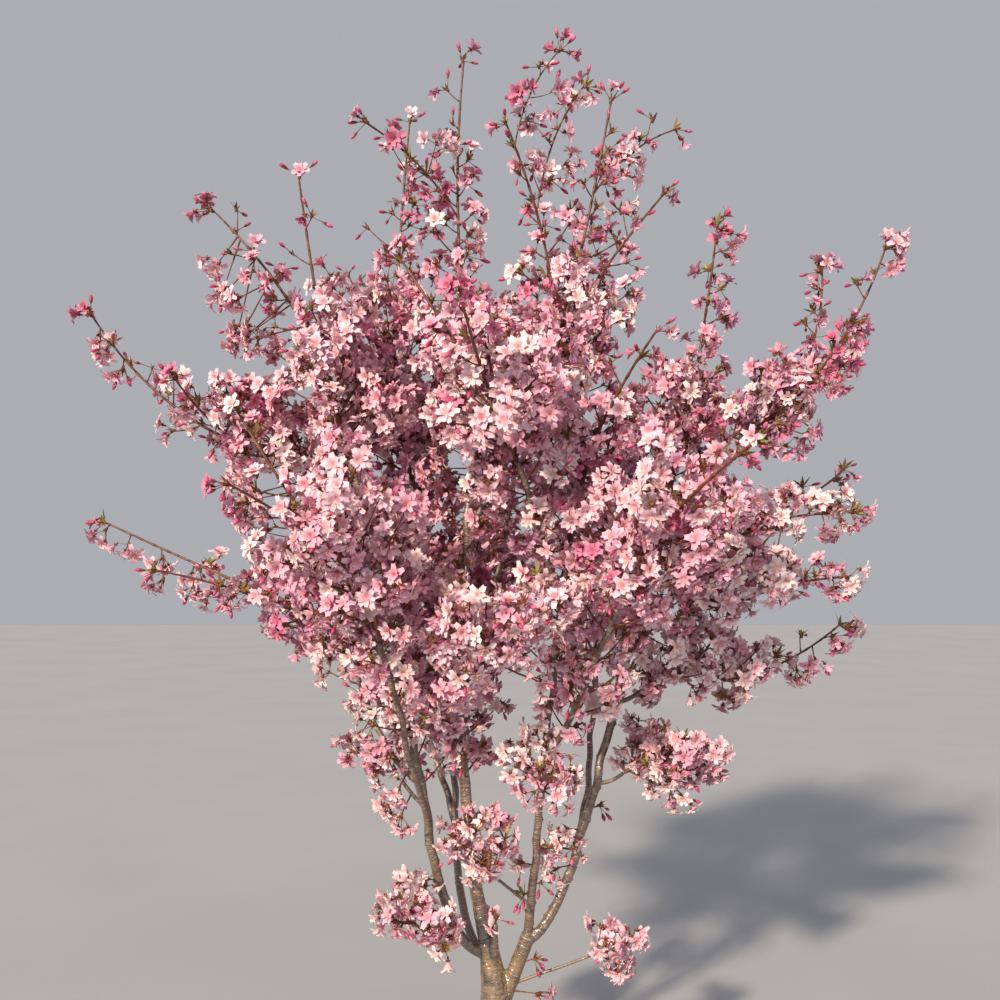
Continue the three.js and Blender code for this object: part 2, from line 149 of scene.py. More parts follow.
BOUGHS = (
    Bough("right_fork", "trunk", 0.58, (10, 0, 168), (26, -1, 205), (38, -2, 240), 11, 9.6),
    Bough("leader", "trunk", 0.9, (-40, 0, 300), (-72, 0, 560), (-32, 0, 900), 10, 5),
    Bough("left", "trunk", 0.93, (-108, -12, 226), (-80, -35, 480), (-190, -40, 850), 7.5, 4.5),
    Bough("back", "trunk", 0.9, (-70, 20, 228), (-68, 60, 400), (-60, 150, 650), 6.5, 4),
    Bough("centre", "right_fork", 0.93, (45, -12, 290), (50, -40, 450), (85, -85, 740), 6.5, 4),
    Bough("right", "right_fork", 0.9, (100, -4, 262), (130, 0, 470), (225, 0, 830), 7, 4.8),
    Bough("inner_left", "leader", 0.47, (-100, 5, 520), (-82, 25, 700), (-120, 50, 840), 5.5, 3.8),
    Bough("upper_right", "leader", 0.84, (-30, -10, 800), (5, -15, 860), (42, -18, 935), 4.6, 3.6),
    Bough("back_top", "leader", 0.6, (-45, 50, 610), (10, 100, 720), (20, 130, 870), 4.8, 3.5),
    Bough("left_mid", "left", 0.72, (-165, -15, 620), (-215, 10, 700), (-248, 20, 860), 4.4, 3.5),
    Bough("left_low", "left", 0.56, (-135, -15, 460), (-170, 0, 515), (-195, 5, 595), 4.2, 3.3),
    Bough("left_spur", "left", 0.52, (-112, -26, 425), (-122, -26, 435), (-132, -28, 450), 2.8, 2.4),
    Bough("front_left", "left", 0.48, (-104, -60, 450), (-120, -120, 530), (-140, -165, 640), 4.5, 3.4),
    Bough("front_low", "left", 0.64, (-100, -80, 525), (-75, -120, 550), (-50, -145, 595), 4, 3.2),
    Bough("back_left", "back", 0.55, (-80, 90, 430), (-130, 130, 560), (-160, 170, 700), 4.8, 3.5),
    Bough("back_right", "right", 0.4, (125, 50, 420), (135, 110, 540), (150, 165, 700), 4.8, 3.5),
    Bough("front_right", "centre", 0.62, (80, -80, 520), (105, -130, 580), (135, -180, 680), 4.4, 3.4),
    Bough("front_high", "centre", 0.9, (70, -105, 720), (45, -140, 770), (20, -170, 850), 3.9, 3.3),
    Bough("side", "centre", 0.82, (110, -70, 625), (160, -78, 645), (222, -88, 668), 3.2, 2.6),
    Bough("right_mid", "right", 0.78, (200, 18, 640), (245, 32, 690), (285, 40, 765), 4.4, 3.5),
    Bough("right_low", "right", 0.7, (172, 4, 552), (190, 8, 560), (212, 10, 574), 3.4, 2.8),
    Bough("right_out", "right", 0.96, (240, 5, 845), (268, 8, 868), (305, 10, 898), 4.2, 3.5),
    Bough("right_spur", "right", 0.55, (140, -4, 442), (152, -8, 446), (164, -12, 456), 2.8, 2.4),
    Bough("centre_spur", "centre", 0.52, (56, -48, 424), (56, -60, 432), (54, -74, 444), 2.8, 2.4),
    Bough("elbow_spur", "left", 0.22, (-68, -22, 252), (-74, -30, 250), (-80, -40, 252), 2.8, 2.4),
    Bough("crossing_twig", "centre", 0.2, (25, -20, 295), (8, -26, 312), (-8, -32, 326), 2.3, 1.9),
    Bough("low_twig", "right_fork", 0.35, (45, -4, 186), (80, -8, 197), (118, -12, 214), 2.1, 1.8),
)

MASSES = tuple(
    Mass(name, heart, reach, tuple(Shoot(*shoot) for shoot in shoots))
    for name, heart, reach, *shoots in (
        ("leader", (-45, -5, 1035), 130, (0, 1, (-49, 20, 1412)), (1, 0.42, (-168, -90, 1283))),
        ("inner_left", (-150, 90, 1020), 160, (0, 1, (-131, 125, 1375)), (0, 0.7, (-230, 190, 1170))),
        ("left", (-225, -35, 990), 150, (0, 0.9, (-255, -70, 1222)), (0, 1, (-392, 30, 1215))),
        ("left_mid", (-332, 0, 884), 162, (0, 1, (-544, 0, 1064)), (0, 0.8, (-398, -110, 958))),
        ("left_low", (-285, 10, 680), 125, (0, 1, (-542, 40, 790)), (0, 0.5, (-440, -60, 724))),
        ("left_spur", (-154, -45, 503), 72),
        (
            "upper_right",
            (85, 0, 1045),
            150,
            (0, 0.8, (8, -80, 1285)),
            (1, 0.9, (76, -60, 1388)),
            (1, 0.6, (114, 30, 1383)),
            (0, 0.9, (146, -20, 1340)),
            (4, 0.62, (247, 80, 1345)),
            (0, 0.9, (205, -80, 1196)),
        ),
        ("right", (255, -10, 955), 130, (0, 0.9, (302, 60, 1201))),
        (
            "right_out",
            (370, 5, 930),
            115,
            (0, 1, (513, 0, 1151)),
            (0, 0.9, (451, 70, 1144)),
            (0, 0.8, (443, -70, 1031)),
            (0, 0.6, (405, -150, 982)),
        ),
        ("right_mid", (365, 45, 800), 98, (0, 1, (490, 95, 868)), (0, 0.8, (462, -20, 802))),
        ("side", (335, -115, 705), 100, (0, 1, (415, -125, 716))),
        ("right_low", (305, 20, 575), 110, (0, 1, (455, 10, 650))),
        ("right_spur", (235, -14, 452), 95),
        ("centre", (120, -105, 900), 105, (0, 0.9, (180, -190, 1000))),
        ("centre_spur", (46, -104, 468), 78),
        ("front_high", (-10, -235, 915), 145, (0, 0.9, (-40, -370, 1000)), (0, 0.8, (-110, -230, 1070))),
        ("front_left", (-200, -235, 760), 150, (0, 0.9, (-270, -350, 810)), (0, 0.9, (-290, -240, 900))),
        ("front_right", (200, -250, 800), 150, (0, 0.9, (250, -370, 850)), (0, 0.9, (310, -220, 890))),
        ("front_low", (-10, -225, 650), 130, (0, 1, (20, -350, 690))),
        ("back", (-20, 235, 740), 130, (0, 1, (-10, 350, 800))),
        ("back_left", (-225, 220, 810), 124, (0, 1, (-350, 270, 890)), (0, 0.7, (-260, 340, 800))),
        ("back_right", (215, 220, 810), 150, (0, 1, (340, 270, 900)), (0, 0.7, (260, 340, 800))),
        ("back_top", (30, 190, 1020), 150, (0, 1, (110, 250, 1170)), (0, 0.9, (-50, 290, 1120))),
        ("elbow_spur", (-112, -60, 276), 72),
        ("crossing_twig", (-22, -50, 366), 75),
        ("low_twig", (164, -16, 222), 60),
    )
)

POSIES = tuple(
    Posy(bough, *spur)
    for bough, *spurs in (
        (
            "right_fork",
            (0.30, (0.9, -0.4, 0.05), 34, 5, 1), (0.22, (0.8, -0.6, -0.25), 24, 4, 0),
            (0.62, (0.9, -0.3, 0.4), 15, 0, 4),
        ),
        ("stub", (1.0, (0.1, -0.4, 0.9), 5, 2, 1)),
        ("centre", (0.25, (-0.8, -0.5, 0.3), 6, 0, 4), (0.29, (0.8, -0.4, 0.4), 6, 0, 3)),
        (
            "right",
            (0.36, (-0.8, -0.5, 0.0), 20, 4, 1), (0.40, (-0.8, -0.3, 0.2), 34, 5, 0),
            (0.41, (-0.3, -0.9, 0.2), 16, 4, 1), (0.43, (-0.7, 0.6, 0.0), 24, 4, 0),
            (0.45, (-0.9, -0.4, 0.2), 18, 4, 1), (0.50, (0.9, -0.3, 0.3), 8, 0, 3),
        ),
        ("centre", (0.42, (0.9, -0.3, 0.2), 14, 3, 1), (0.36, (-0.9, 0.2, 0.2), 12, 2, 2)),
        ("leader", (0.30, (0.9, -0.4, 0.3), 14, 3, 1), (0.34, (-0.5, -0.8, 0.3), 16, 4, 0)),
        ("left", (0.36, (-0.8, -0.5, 0.3), 10, 1, 2)),
        ("left_spur", (0.5, (-0.4, -0.5, -0.8), 28, 5, 1), (0.9, (-0.5, 0.3, -0.9), 34, 5, 1)),
        (
            "left_low",
            (0.2, (-0.3, -0.8, -0.5), 26, 5, 1), (0.45, (-0.4, -0.6, -0.7), 30, 5, 1),
            (0.7, (-0.5, 0.3, -0.8), 30, 5, 0),
        ),
        (
            "left_mid",
            (0.75, (-0.9, -0.4, 0.2), 100, 5, 1), (0.80, (-0.9, -0.1, 0.1), 70, 5, 1),
            (0.85, (-0.9, -0.4, 0.0), 95, 5, 1), (0.90, (-0.9, 0.3, -0.1), 85, 5, 1),
            (0.95, (-0.9, -0.3, -0.2), 105, 5, 1), (0.98, (-0.8, -0.6, -0.3), 80, 5, 1),
        ),
        (
            "leader",
            (0.84, (-0.5, -0.8, 0.1), 45, 5, 1), (0.95, (-0.9, -0.4, 0.1), 50, 5, 1),
            (0.97, (-0.5, -0.9, 0.2), 60, 5, 1), (0.99, (-0.8, 0.4, 0.2), 45, 5, 1),
            (0.88, (-0.9, -0.2, 0.3), 35, 5, 1), (0.92, (0.2, -0.9, 0.2), 40, 5, 1),
            (0.86, (-0.9, 0.5, 0.1), 40, 5, 1), (0.90, (-0.6, 0.8, 0.1), 55, 5, 1),
            (0.94, (-0.3, 0.9, 0.1), 65, 5, 1), (0.93, (-0.6, 0.2, 0.0), 22, 5, 1),
            (0.96, (-0.8, -0.1, 0.0), 30, 5, 1),
        ),
        (
            "inner_left",
            (0.5, (0.4, -0.8, 0.3), 40, 5, 1), (0.75, (0.5, -0.7, 0.4), 45, 5, 1),
            (0.9, (-0.2, -0.9, 0.2), 40, 5, 1), (0.95, (0.8, -0.6, 0.2), 50, 5, 1),
            (0.99, (0.4, -0.9, 0.3), 60, 5, 1),
        ),
        (
            "left_low_1",
            (0.97, (-0.4, -0.4, -0.6), 6, 2, 1), (0.85, (-0.2, -0.3, -0.9), 12, 4, 1),
            (0.68, (0.1, -0.3, -0.9), 12, 3, 3), (0.50, (0.0, -0.5, -0.8), 12, 2, 2),
        ),
        (
            "left_low_2",
            (0.95, (-0.2, -0.4, -0.7), 8, 3, 1), (0.80, (0.0, -0.3, -0.9), 10, 3, 1),
            (0.60, (0.1, -0.5, -0.9), 10, 2, 2),
        ),
        (
            "left_2",
            (1.0, (-0.6, -0.3, 0.4), 4, 3, 1), (0.22, (-0.8, -0.4, -0.3), 60, 5, 1),
            (0.35, (-0.7, -0.3, -0.6), 55, 5, 1), (0.38, (-0.6, 0.3, -0.4), 90, 4, 1),
            (0.50, (-0.8, -0.3, -0.5), 50, 5, 1), (0.52, (-0.3, -0.5, -0.9), 85, 5, 1),
            (0.65, (-0.6, -0.2, -0.8), 50, 4, 2), (0.66, (-0.3, 0.3, -0.9), 95, 4, 2),
            (0.80, (-0.5, -0.2, -0.8), 45, 3, 2), (0.78, (-0.2, -0.3, -0.9), 80, 4, 2),
        ),
        (
            "left_mid_1",
            (0.93, (0.1, -0.4, -0.8), 10, 3, 1), (0.85, (-0.1, -0.5, -0.8), 12, 4, 1),
            (0.75, (0.0, -0.3, -0.9), 12, 3, 3),
        ),
        ("left_mid_2", (0.85, (0.0, -0.4, -0.8), 12, 4, 1), (0.70, (-0.3, 0.2, 0.8), 12, 4, 1)),
        ("right_out_1", (1.0, (0.5, -0.4, 0.2), 5, 6, 1), (0.93, (0.5, -0.4, -0.3), 10, 5, 1)),
        ("right_out_2", (0.97, (-0.4, -0.5, 0.2), 6, 3, 2)),
        ("right_out_3", (1.0, (0.3, -0.6, -0.2), 5, 6, 1), (0.90, (0.4, -0.5, -0.5), 12, 4, 1)),
        ("right_out_4", (0.95, (0.1, -0.5, -0.7), 10, 4, 2)),
        (
            "right_mid_2",
            (1.0, (0.5, -0.5, -0.1), 6, 6, 1), (0.85, (0.2, -0.7, -0.5), 14, 5, 1),
            (0.85, (0.1, 0.3, 0.8), 12, 5, 0), (0.70, (0.1, -0.6, 0.7), 14, 5, 1),
            (0.70, (0.1, -0.4, -0.8), 16, 5, 1),
        ),
        (
            "side_1",
            (1.0, (0.3, -0.6, -0.1), 6, 6, 1), (0.85, (0.1, -0.7, -0.6), 14, 5, 1),
            (0.80, (0.0, 0.5, 0.8), 12, 5, 0),
        ),
        (
            "right_low_1",
            (1.0, (0.8, -0.3, -0.1), 10, 6, 0), (0.92, (0.3, -0.5, -0.6), 10, 4, 1),
            (0.75, (0.0, -0.5, -0.9), 16, 5, 2), (0.60, (0.0, -0.4, -0.9), 16, 5, 3),
        ),
        ("right_1", (0.97, (0.7, -0.4, -0.3), 18, 2, 1)),
    )
    for spur in spurs
)

# For umbels up to each share of a shoot's length: up to each chance, how many flowers and buds open.
MEMBERS = (
    (0.0, ((0.4, 4, 1), (0.5, 5, 1), (0.8, 5, 0), (1.0, 6, 0))),
    (0.45, ((0.5, 3, 1), (0.7, 4, 1), (1.0, 4, 2))),
    (0.95, ((0.25, 0, 1), (0.35, 1, 1), (0.7, 1, 2), (1.0, 2, 2))),
    (1.0, ((0.4, 1, 3), (0.7, 3, 3), (1.0, 6, 1))),
)


class Rule:
    """Numbers that follow one another by a fixed rule from a seed, evenly spread between 0 and 1."""

    FACTOR = 48271
    MODULUS = 2147483647

    def __init__(self, seed: int) -> None:
        """Starts the row of numbers at a seed."""
        self.state = seed

    def next(self) -> float:
        """The next number."""
        self.state = self.state * self.FACTOR % self.MODULUS
        return self.state / self.MODULUS

    def deal(self, span: Span) -> float:
        """The least value of a span, with a chance share of what may be added."""
        return span[0] + span[1] * self.next()

    def turn(self) -> float:
        """A turn by chance, in radians."""
        return FULL_TURN * self.next()


def unit(way: np.ndarray) -> np.ndarray:
    """A direction, or several as rows, at length 1."""
    return way / np.maximum(np.linalg.norm(way, axis=-1, keepdims=True), 1e-9)


def axes_across(alongs: np.ndarray, chord: np.ndarray, limit: float) -> tuple[np.ndarray, np.ndarray]:
    """Two ways at right angles to a curve at each of its places, and to each other.

    Args:
        alongs: The ways that the curve runs.
        chord: The one way that stands for the whole curve.
        limit: How far the chord may turn to Y before the ways are set out from X instead.

    Returns:
        The ways across, and the ways at right angles to both.
    """
    reference = np.where(np.abs(chord[..., 1:2]) < limit, (0.0, 1.0, 0.0), (1.0, 0.0, 0.0))
    across = unit(np.cross(reference, alongs))
    return across, np.cross(alongs, across)


@dataclass
class Wood:
    """A tapering line of wood along a Bezier curve, in millimetres."""

    points: np.ndarray
    foot: float
    end: float
    rings: int = 1
    length: float = 0.0

    def place(self, share: float | np.ndarray) -> np.ndarray:
        """Places on the curve.

        Args:
            share: One share of the curve, or an array of them.

        Returns:
            One place, or one row for each share.
        """
        t = np.asarray(share, float)[..., None]
        layer = [point + 0 * t for point in self.points]
        while len(layer) > 1:
            layer = [near * (1 - t) + far * t for near, far in zip(layer, layer[1:], strict=False)]
        return layer[0]

    def along(self, share: float | np.ndarray) -> np.ndarray:
        """The way the curve runs at one share or several."""
        t = np.asarray(share, float)
        return unit(self.place(np.minimum(t + 1e-4, 1)) - self.place(np.maximum(t - 1e-4, 0)))

    def radius(self, share: float | np.ndarray) -> float | np.ndarray:
        """The radius at one share or several."""
        return self.foot + (self.end - self.foot) * share

    def on_facets(self, share: float) -> np.ndarray:
        """A place on the straight facets that the part's solid has between its rings."""
        ring = min(int(share * self.rings), self.rings - 1)
        near, far = self.place(ring / self.rings), self.place((ring + 1) / self.rings)
        return near + (far - near) * (share * self.rings - ring)

    def measured(self) -> float:
        """The curve's length."""
        return float(np.linalg.norm(np.diff(self.place(np.linspace(0, 1, 201)), axis=0), axis=1).sum())


@dataclass
class Trunk(Wood):
    """The trunk's middle line and its radius, which flares at the ground and thins to the fork."""

    rings: int = 9
    height: float = 228
    lean: float = -17
    lean_power: float = 3
    waist_height: float = 145
    waist_radius: float = 21.5
    shoulder_height: float = 182
    shoulder_radius: float = 17
    neck_radius: float = 12
    flare: float = 17
    flare_fade: float = 30
    lobes: int = 5
    lobe_share: float = 0.45

    def place(self, share: float | np.ndarray) -> np.ndarray:
        """Places on the trunk's middle line."""
        t = np.asarray(share, float)
        return np.stack([self.lean * t**self.lean_power, 0 * t, self.height * t], axis=-1)

    def radius(self, share: float | np.ndarray) -> float | np.ndarray:
        """The radius without the flare."""
        heights = (0, self.waist_height, self.shoulder_height, self.height)
        radii = (self.waist_radius, self.waist_radius, self.shoulder_radius, self.neck_radius)
        return np.interp(np.asarray(share) * self.height, heights, radii)

    def flared(self, height: np.ndarray, turn: np.ndarray) -> np.ndarray:
        """How far the root flare stands out at a height and a turn round the trunk."""
        lobes = 1 + self.lobe_share * np.cos(self.lobes * turn)
        return self.flare * np.exp(-height / self.flare_fade) * lobes


@dataclass
class Spray:
    """A twig with its place in the crown: how far out towards a shoot's tip, and whether the part has it."""

    wood: Wood
    outer: float = 0.0
    primary: bool = False


@dataclass
class Umbel:
    """A cluster of flowers and buds that springs from one point."""

    place: np.ndarray
    way: np.ndarray
    outer: float
    members: tuple[int, int] | None = None


@dataclass
class Bloom:
    """The bloom that the part's solid has on a twig: its rim, its middle and how far it reaches."""

    twig: Wood
    rim: np.ndarray
    heart: np.ndarray
    radius: float
    points: np.ndarray


@dataclass
class Growth:
    """The tree's growth rule: boughs from their table, then stems, shoots, twigs and finer twigs."""

    stub_points: tuple[Triple, ...] = ((-8, -8, 215), (-8, -11, 236), (-6, -13, 257))
    stub_radii: tuple[float, float] = (6.6, 3.6)
    stub_length: float = 42
    bough_facet: float = 85
    stem_facet: float = 90
    shoot_facet: float = 100
    seat_gap: float = 0.3
    limb_clearance: float = 1.5
    petal_clearance: float = 3
    space_margin: float = 0.5
    sample_pitch: float = 7
    stem_end_radius: float = 3.6
    shoot_radius: float = 2.6
    shoot_tip_radius: float = 1.5
    shoot_tip_sunk: float = 0.06
    shoot_root_share: float = 0.72
    shoot_follows: float = 0.35
    stem_pitch: float = 22
    shoot_pitch: float = 41
    fewest_twigs: int = 8
    twig_radius: float = 1.7
    root_share: float = 0.55
    twig_taper: float = 0.6
    twig_longest: float = 105
    twig_shortest: float = 14
    twig_gain: float = 0.14
    stem_twig_share: float = 0.55
    twig_forward: float = 0.55
    twig_rise: float = 0.2
    twig_tries: tuple[float, ...] = (1, 0.72, 0.48)
    twig_stretch: Span = (0.7, 0.6)
    twig_lift: Span = (-0.4, 1.3)
    jitter: float = 0.3
    stalk_pitch: float = 46
    stalk_length: float = 28
    stalk_lift: float = 0.7
    bloom_radius: float = 41
    tip_bloom_radius: float = 22
    bloom_share: float = 0.75
    bloom_spacing: float = 1.64
    twig_spacing: float = 0.6
    petals: int = 5
    notch_reach: float = 0.5
    cup_rim: float = 0.42
    cup_notch: float = 0.24
    cup_heart: float = 0.1
    first_seed: int = 101
    seed_step: int = 17
    umbel_room: float = 27
    spur_room: float = 43
    spur_room_gain: float = 0.25
    shoot_room: float = 29
    fewest_fine: int = 6
    fine_pitch: float = 13
    fine_radius: float = 1.15
    fine_place: Span = (0.3, 0.6)
    fine_shortest: float = 5
    fine_gain: float = 0.09
    fine_stretch: Span = (0.4, 0.8)
    fine_lift: Span = (-0.5, 1.4)
    fine_tries: tuple[float, ...] = (1, 0.6, 0.3)
    room_power: float = 0.7
    node_pitch: float = 21
    node_place: Span = (0.5, 0.5)
    node_end: float = 0.3
    node_length: Span = (6, 22)
    umbel_clearance: float = 12
    spur_pitch: float = 9
    spur_length: Span = (14, 46)
    spurs_from: float = 520
    low_spurs: dict[str, float] = field(
        default_factory=lambda: {"left": 425, "leader": 445, "back": 430, "right": 610, "centre": 570}
    )
    body_passes: int = 3
    small_reach: float = 96
    bushy_share: float = 0.2
    limbs: dict[str, Wood] = field(default_factory=dict)
    carriers: list[Spray] = field(default_factory=list)
    shoots: dict[str, Wood] = field(default_factory=dict)
    sprays: list[Spray] = field(default_factory=list)
    umbels: list[Umbel] = field(default_factory=list)

    def grow(self) -> None:
        """Grows the whole tree."""
        self.limbs["trunk"] = Trunk(np.zeros((2, 3)), 0, 0)
        for row in BOUGHS:
            start = self.limbs[row.parent].on_facets(row.share)
            wood = Wood(np.array([start, row.first, row.second, row.tip], float), row.foot, row.end)
            wood.length = wood.measured()
            wood.rings = math.ceil(wood.length / self.bough_facet)
            self.limbs[row.name] = wood
        self.limbs["stub"] = Wood(np.array(self.stub_points, float), *self.stub_radii, 1, self.stub_length)
        places, radii = [], []
        for row in BOUGHS:
            wood = self.limbs[row.name]
            shares = np.linspace(0, 1, math.ceil(wood.length / self.sample_pitch) + 1)
            places.extend(wood.on_facets(share) for share in shares)
            radii.extend(wood.radius(shares))
        self.limb_places, self.limb_radii = np.array(places), np.array(radii)
        self.hearts = np.array([mass.heart for mass in MASSES], float)
        self.reaches = np.array([mass.reach for mass in MASSES], float)
        self.taken = np.empty((0, 3))
        masses = [self.grow_mass(index, mass) for index, mass in enumerate(MASSES)]
        for mass, (carriers, _) in zip(MASSES, masses, strict=True):
            self.shoots.update({f"{mass.name}_{number}": wood for number, wood in enumerate(carriers)})
        for carriers, blooms in masses:
            self.dress_tips(carriers, blooms)
        for index, (carriers, blooms) in enumerate(masses):
            self.grow_finer(index, carriers, blooms)
        self.set_posies()
        self.grow_spurs()

    def clear_of_limbs(self, places: np.ndarray, room: float) -> bool:
        """Whether all places are further than some room from every bough."""
        apart = np.linalg.norm(places[:, None] - self.limb_places[None], axis=2)
        return bool((apart > self.limb_radii + room).all())

    def inside_space(self, index: int, places: np.ndarray) -> bool:
        """Whether all places are nearer to a mass's own heart than to any other, weighed by reach."""
        power = ((places[:, None] - self.hearts[None]) ** 2).sum(axis=2) - self.reaches**2
        apart = np.linalg.norm(self.hearts - self.hearts[index], axis=1)
        room = power - power[:, index : index + 1] - 2 * apart * self.space_margin
        room[:, index] = 1
        return bool((room > 0).all())

    def branch(self, start: np.ndarray, way: np.ndarray, tip: np.ndarray, foot: float, end: float) -> Wood:
        """A branch that sets out one way and bends towards its tip."""
        length = float(np.linalg.norm(tip - start))
        return Wood(np.array([start, start + way * length / 2, tip]), foot, end, 1, length)

    def carriers_of(self, mass: Mass) -> list[Wood]:
        """The stem of a mass, which goes on from its bough's tip, and its shoots."""
        bough = self.limbs[mass.name]
        way = bough.along(1.0)
        start = bough.place(1.0) + way * self.seat_gap
        end = min(bough.end, self.stem_end_radius)
        stem = self.branch(start, way, np.array(mass.heart, float), bough.end, end)
        stem.rings = math.ceil(stem.length / self.stem_facet)
        carriers = [stem]
        for shoot in mass.shoots:
            carrier, tip = carriers[shoot.carrier], np.array(shoot.tip, float)
            start = carrier.on_facets(shoot.share)
            straight = unit(tip - start)
            way = unit(straight + (carrier.along(shoot.share) - straight) * self.shoot_follows)
            foot = min(self.shoot_radius, self.shoot_root_share * carrier.radius(shoot.share))
            grown = self.branch(start, way, tip, foot, min(foot, self.shoot_tip_radius))
            grown.rings = math.ceil(grown.length / self.shoot_facet)
            carriers.append(grown)
        return carriers

    def sideways(self, along: np.ndarray, turn: float, lift: float) -> np.ndarray:
        """A way out to the side of a carrier, turned round it and lifted."""
        level = math.sqrt(1 - lift * lift)
        way = np.array([level * math.cos(turn), level * math.sin(turn), lift])
        way = way - along * (way @ along)
        return np.roll(along, 1) if way @ way < 0.01 else unit(way)

    def twig(self, carrier: Wood, share: float, way: np.ndarray, tip: np.ndarray, radius: float) -> Wood:
        """A twig from a share of its carrier's length, thin enough for its root to lie inside."""
        foot = min(radius, self.root_share * carrier.radius(share))
        return self.branch(carrier.on_facets(share), way, tip, foot, self.twig_taper * foot)

    def blooming(self, twig: Wood, radius: float, turn: float) -> Bloom:
        """The five-pointed bloom that the part's solid has on a twig's tip."""
        tip, way = twig.place(1.0), twig.along(1.0)
        out = np.arange(2 * self.petals) % 2 == 0
        reaches = radius * np.where(out, 1, self.notch_reach)
        forwards = radius * np.where(out, self.cup_rim, self.cup_notch)
        chord = unit(twig.points[-1] - twig.points[0])
        across, up = axes_across(way, chord, 0.7)
        turns = turn + FULL_TURN * np.arange(len(out)) / len(out)
        rim = tip + np.outer(forwards, way)
        rim += np.outer(reaches * np.cos(turns), across) + np.outer(reaches * np.sin(turns), up)
        steps = math.ceil(twig.length / self.sample_pitch)
        shares = ((np.arange(steps) + 1) / steps)[:, None]
        points = twig.points[0] * (1 - shares) + tip * shares
        return Bloom(twig, rim, tip + way * self.cup_heart * radius, radius, points)

    def fits(self, index: int, bloom: Bloom, grown: list[Bloom]) -> bool:
        """Whether a twig and its bloom stay in the mass's space, clear of limbs and of other blooms."""
        for other in grown:
            apart = self.bloom_spacing * (bloom.radius + other.radius) / 2
            if np.linalg.norm(other.heart - bloom.heart) < apart:
                return False
            if (np.linalg.norm(other.points - bloom.heart, axis=1) < self.twig_spacing * bloom.radius).any():
                return False
            if (np.linalg.norm(bloom.points - other.heart, axis=1) <= self.twig_spacing * other.radius).any():
                return False
        if not self.clear_of_limbs(bloom.points, self.twig_radius + self.limb_clearance):
            return False
        edges = (bloom.rim + np.roll(bloom.rim, -1, axis=0)) / 2
        petals = np.concatenate([bloom.rim, edges, (bloom.rim + bloom.heart) / 2])
        if not self.clear_of_limbs(petals, self.petal_clearance):
            return False
        return self.inside_space(index, np.concatenate([bloom.points, bloom.rim]))

    def grow_mass(self, index: int, mass: Mass) -> tuple[list[Wood], list[Bloom]]:
        """Grows the stem, shoots and blooming twigs that the part's solid of a mass has.

        Args:
            index: The mass's place in the table.
            mass: The mass.

        Returns:
            The carriers and the blooming twigs.
        """
        rule = Rule(self.first_seed + self.seed_step * index)
        carriers = self.carriers_of(mass)
        grown: list[Bloom] = []
        for shoot in carriers[1:]:
            way, tip = shoot.along(1.0), shoot.place(1.0)
            stalk = self.twig(shoot, 1 - self.shoot_tip_sunk, way, tip, self.twig_radius)
            bloom = self.blooming(stalk, self.tip_bloom_radius, rule.turn())
            if self.fits(index, bloom, grown):
                grown.append(bloom)
        for number, carrier in enumerate(carriers):
            pitch = self.shoot_pitch if number else self.stem_pitch
            count = max(1 if number else self.fewest_twigs, int(carrier.length / pitch))
            phase = rule.turn()
            for i in range(count):
                share = (i + 0.5 + self.jitter * (rule.next() - 0.5)) / count
                lift = rule.deal(self.twig_lift)
                stretch = rule.deal(self.twig_stretch)
                turn = rule.turn()
                tapered = self.twig_shortest + self.twig_gain * (1 - share) * carrier.length
                wanted = tapered if number else self.stem_twig_share * mass.reach
                along = carrier.along(share)
                way = unit(self.sideways(along, phase + i * GOLDEN_TURN, lift) + along * self.twig_forward)
                for size in self.twig_tries:
                    length = size * stretch * min(self.twig_longest, wanted)
                    radius = min(max(self.bloom_share * length, self.tip_bloom_radius), self.bloom_radius)
                    tip = carrier.on_facets(share) + way * length + np.array([0, 0, self.twig_rise * length])
                    twig = self.twig(carrier, share, way, tip, self.twig_radius)
                    bloom = self.blooming(twig, radius, turn)
                    if self.fits(index, bloom, grown):
                        grown.append(bloom)
                        outer = share if number else 0.0
                        self.grow_stalks(index, bloom, rule, grown, outer)
                        self.seat(twig, carrier, share, outer)
                        break
        return carriers, grown

    def grow_stalks(self, index: int, bloom: Bloom, rule: Rule, grown: list[Bloom], outer: float) -> None:
        """Grows the short stalks with blooms that a long twig of the part's solid has.

        Args:
            index: The mass's place in the table.
            bloom: The twig and its own bloom.
            rule: The row of numbers.
            grown: Takes the new blooms.
            outer: How far out the twig is.
        """
        twig = bloom.twig
        count = int(twig.length / self.stalk_pitch)
        for i in range(count):
            share = (i + 0.5) / (count + 0.5)
            along = twig.along(share)
            around = rule.turn()
            way = self.sideways(along, around, self.stalk_lift * (2 * rule.next() - 1))
            way = unit(way + along * self.twig_forward)
            tip = twig.on_facets(share) + way * self.stalk_length
            stalk = self.twig(twig, share, way, tip, self.twig_radius)
            new = self.blooming(stalk, self.bloom_radius, rule.turn())
            if self.fits(index, new, grown):
                grown.append(new)
                self.seat(stalk, twig, share, outer)

    def seat(self, twig: Wood, carrier: Wood, share: float, outer: float, primary: bool = True) -> None:
        """Keeps a twig, its foot moved from the facets of the part's carrier onto the real curve."""
        twig.points[0] = carrier.place(share)
        self.sprays.append(Spray(twig, outer, primary))

    def room_at(self, place: np.ndarray, room: float) -> bool:
        """Whether a new umbel keeps its distance from those that have grown."""
        return bool((((self.taken - place) ** 2).sum(axis=1) > room * room).all())

    def open_umbel(
        self, place: np.ndarray, way: np.ndarray, outer: float, members: tuple[int, int] | None = None
    ) -> None:
        """Sets an umbel where a twig or a node opens one.

        Args:
            place: Where it springs.
            way: The way it opens.
            outer: How far out on a shoot it is.
            members: Its flowers and buds, where they are given.
        """
        self.umbels.append(Umbel(place, way, outer, members))
        self.taken = np.vstack([self.taken, place])

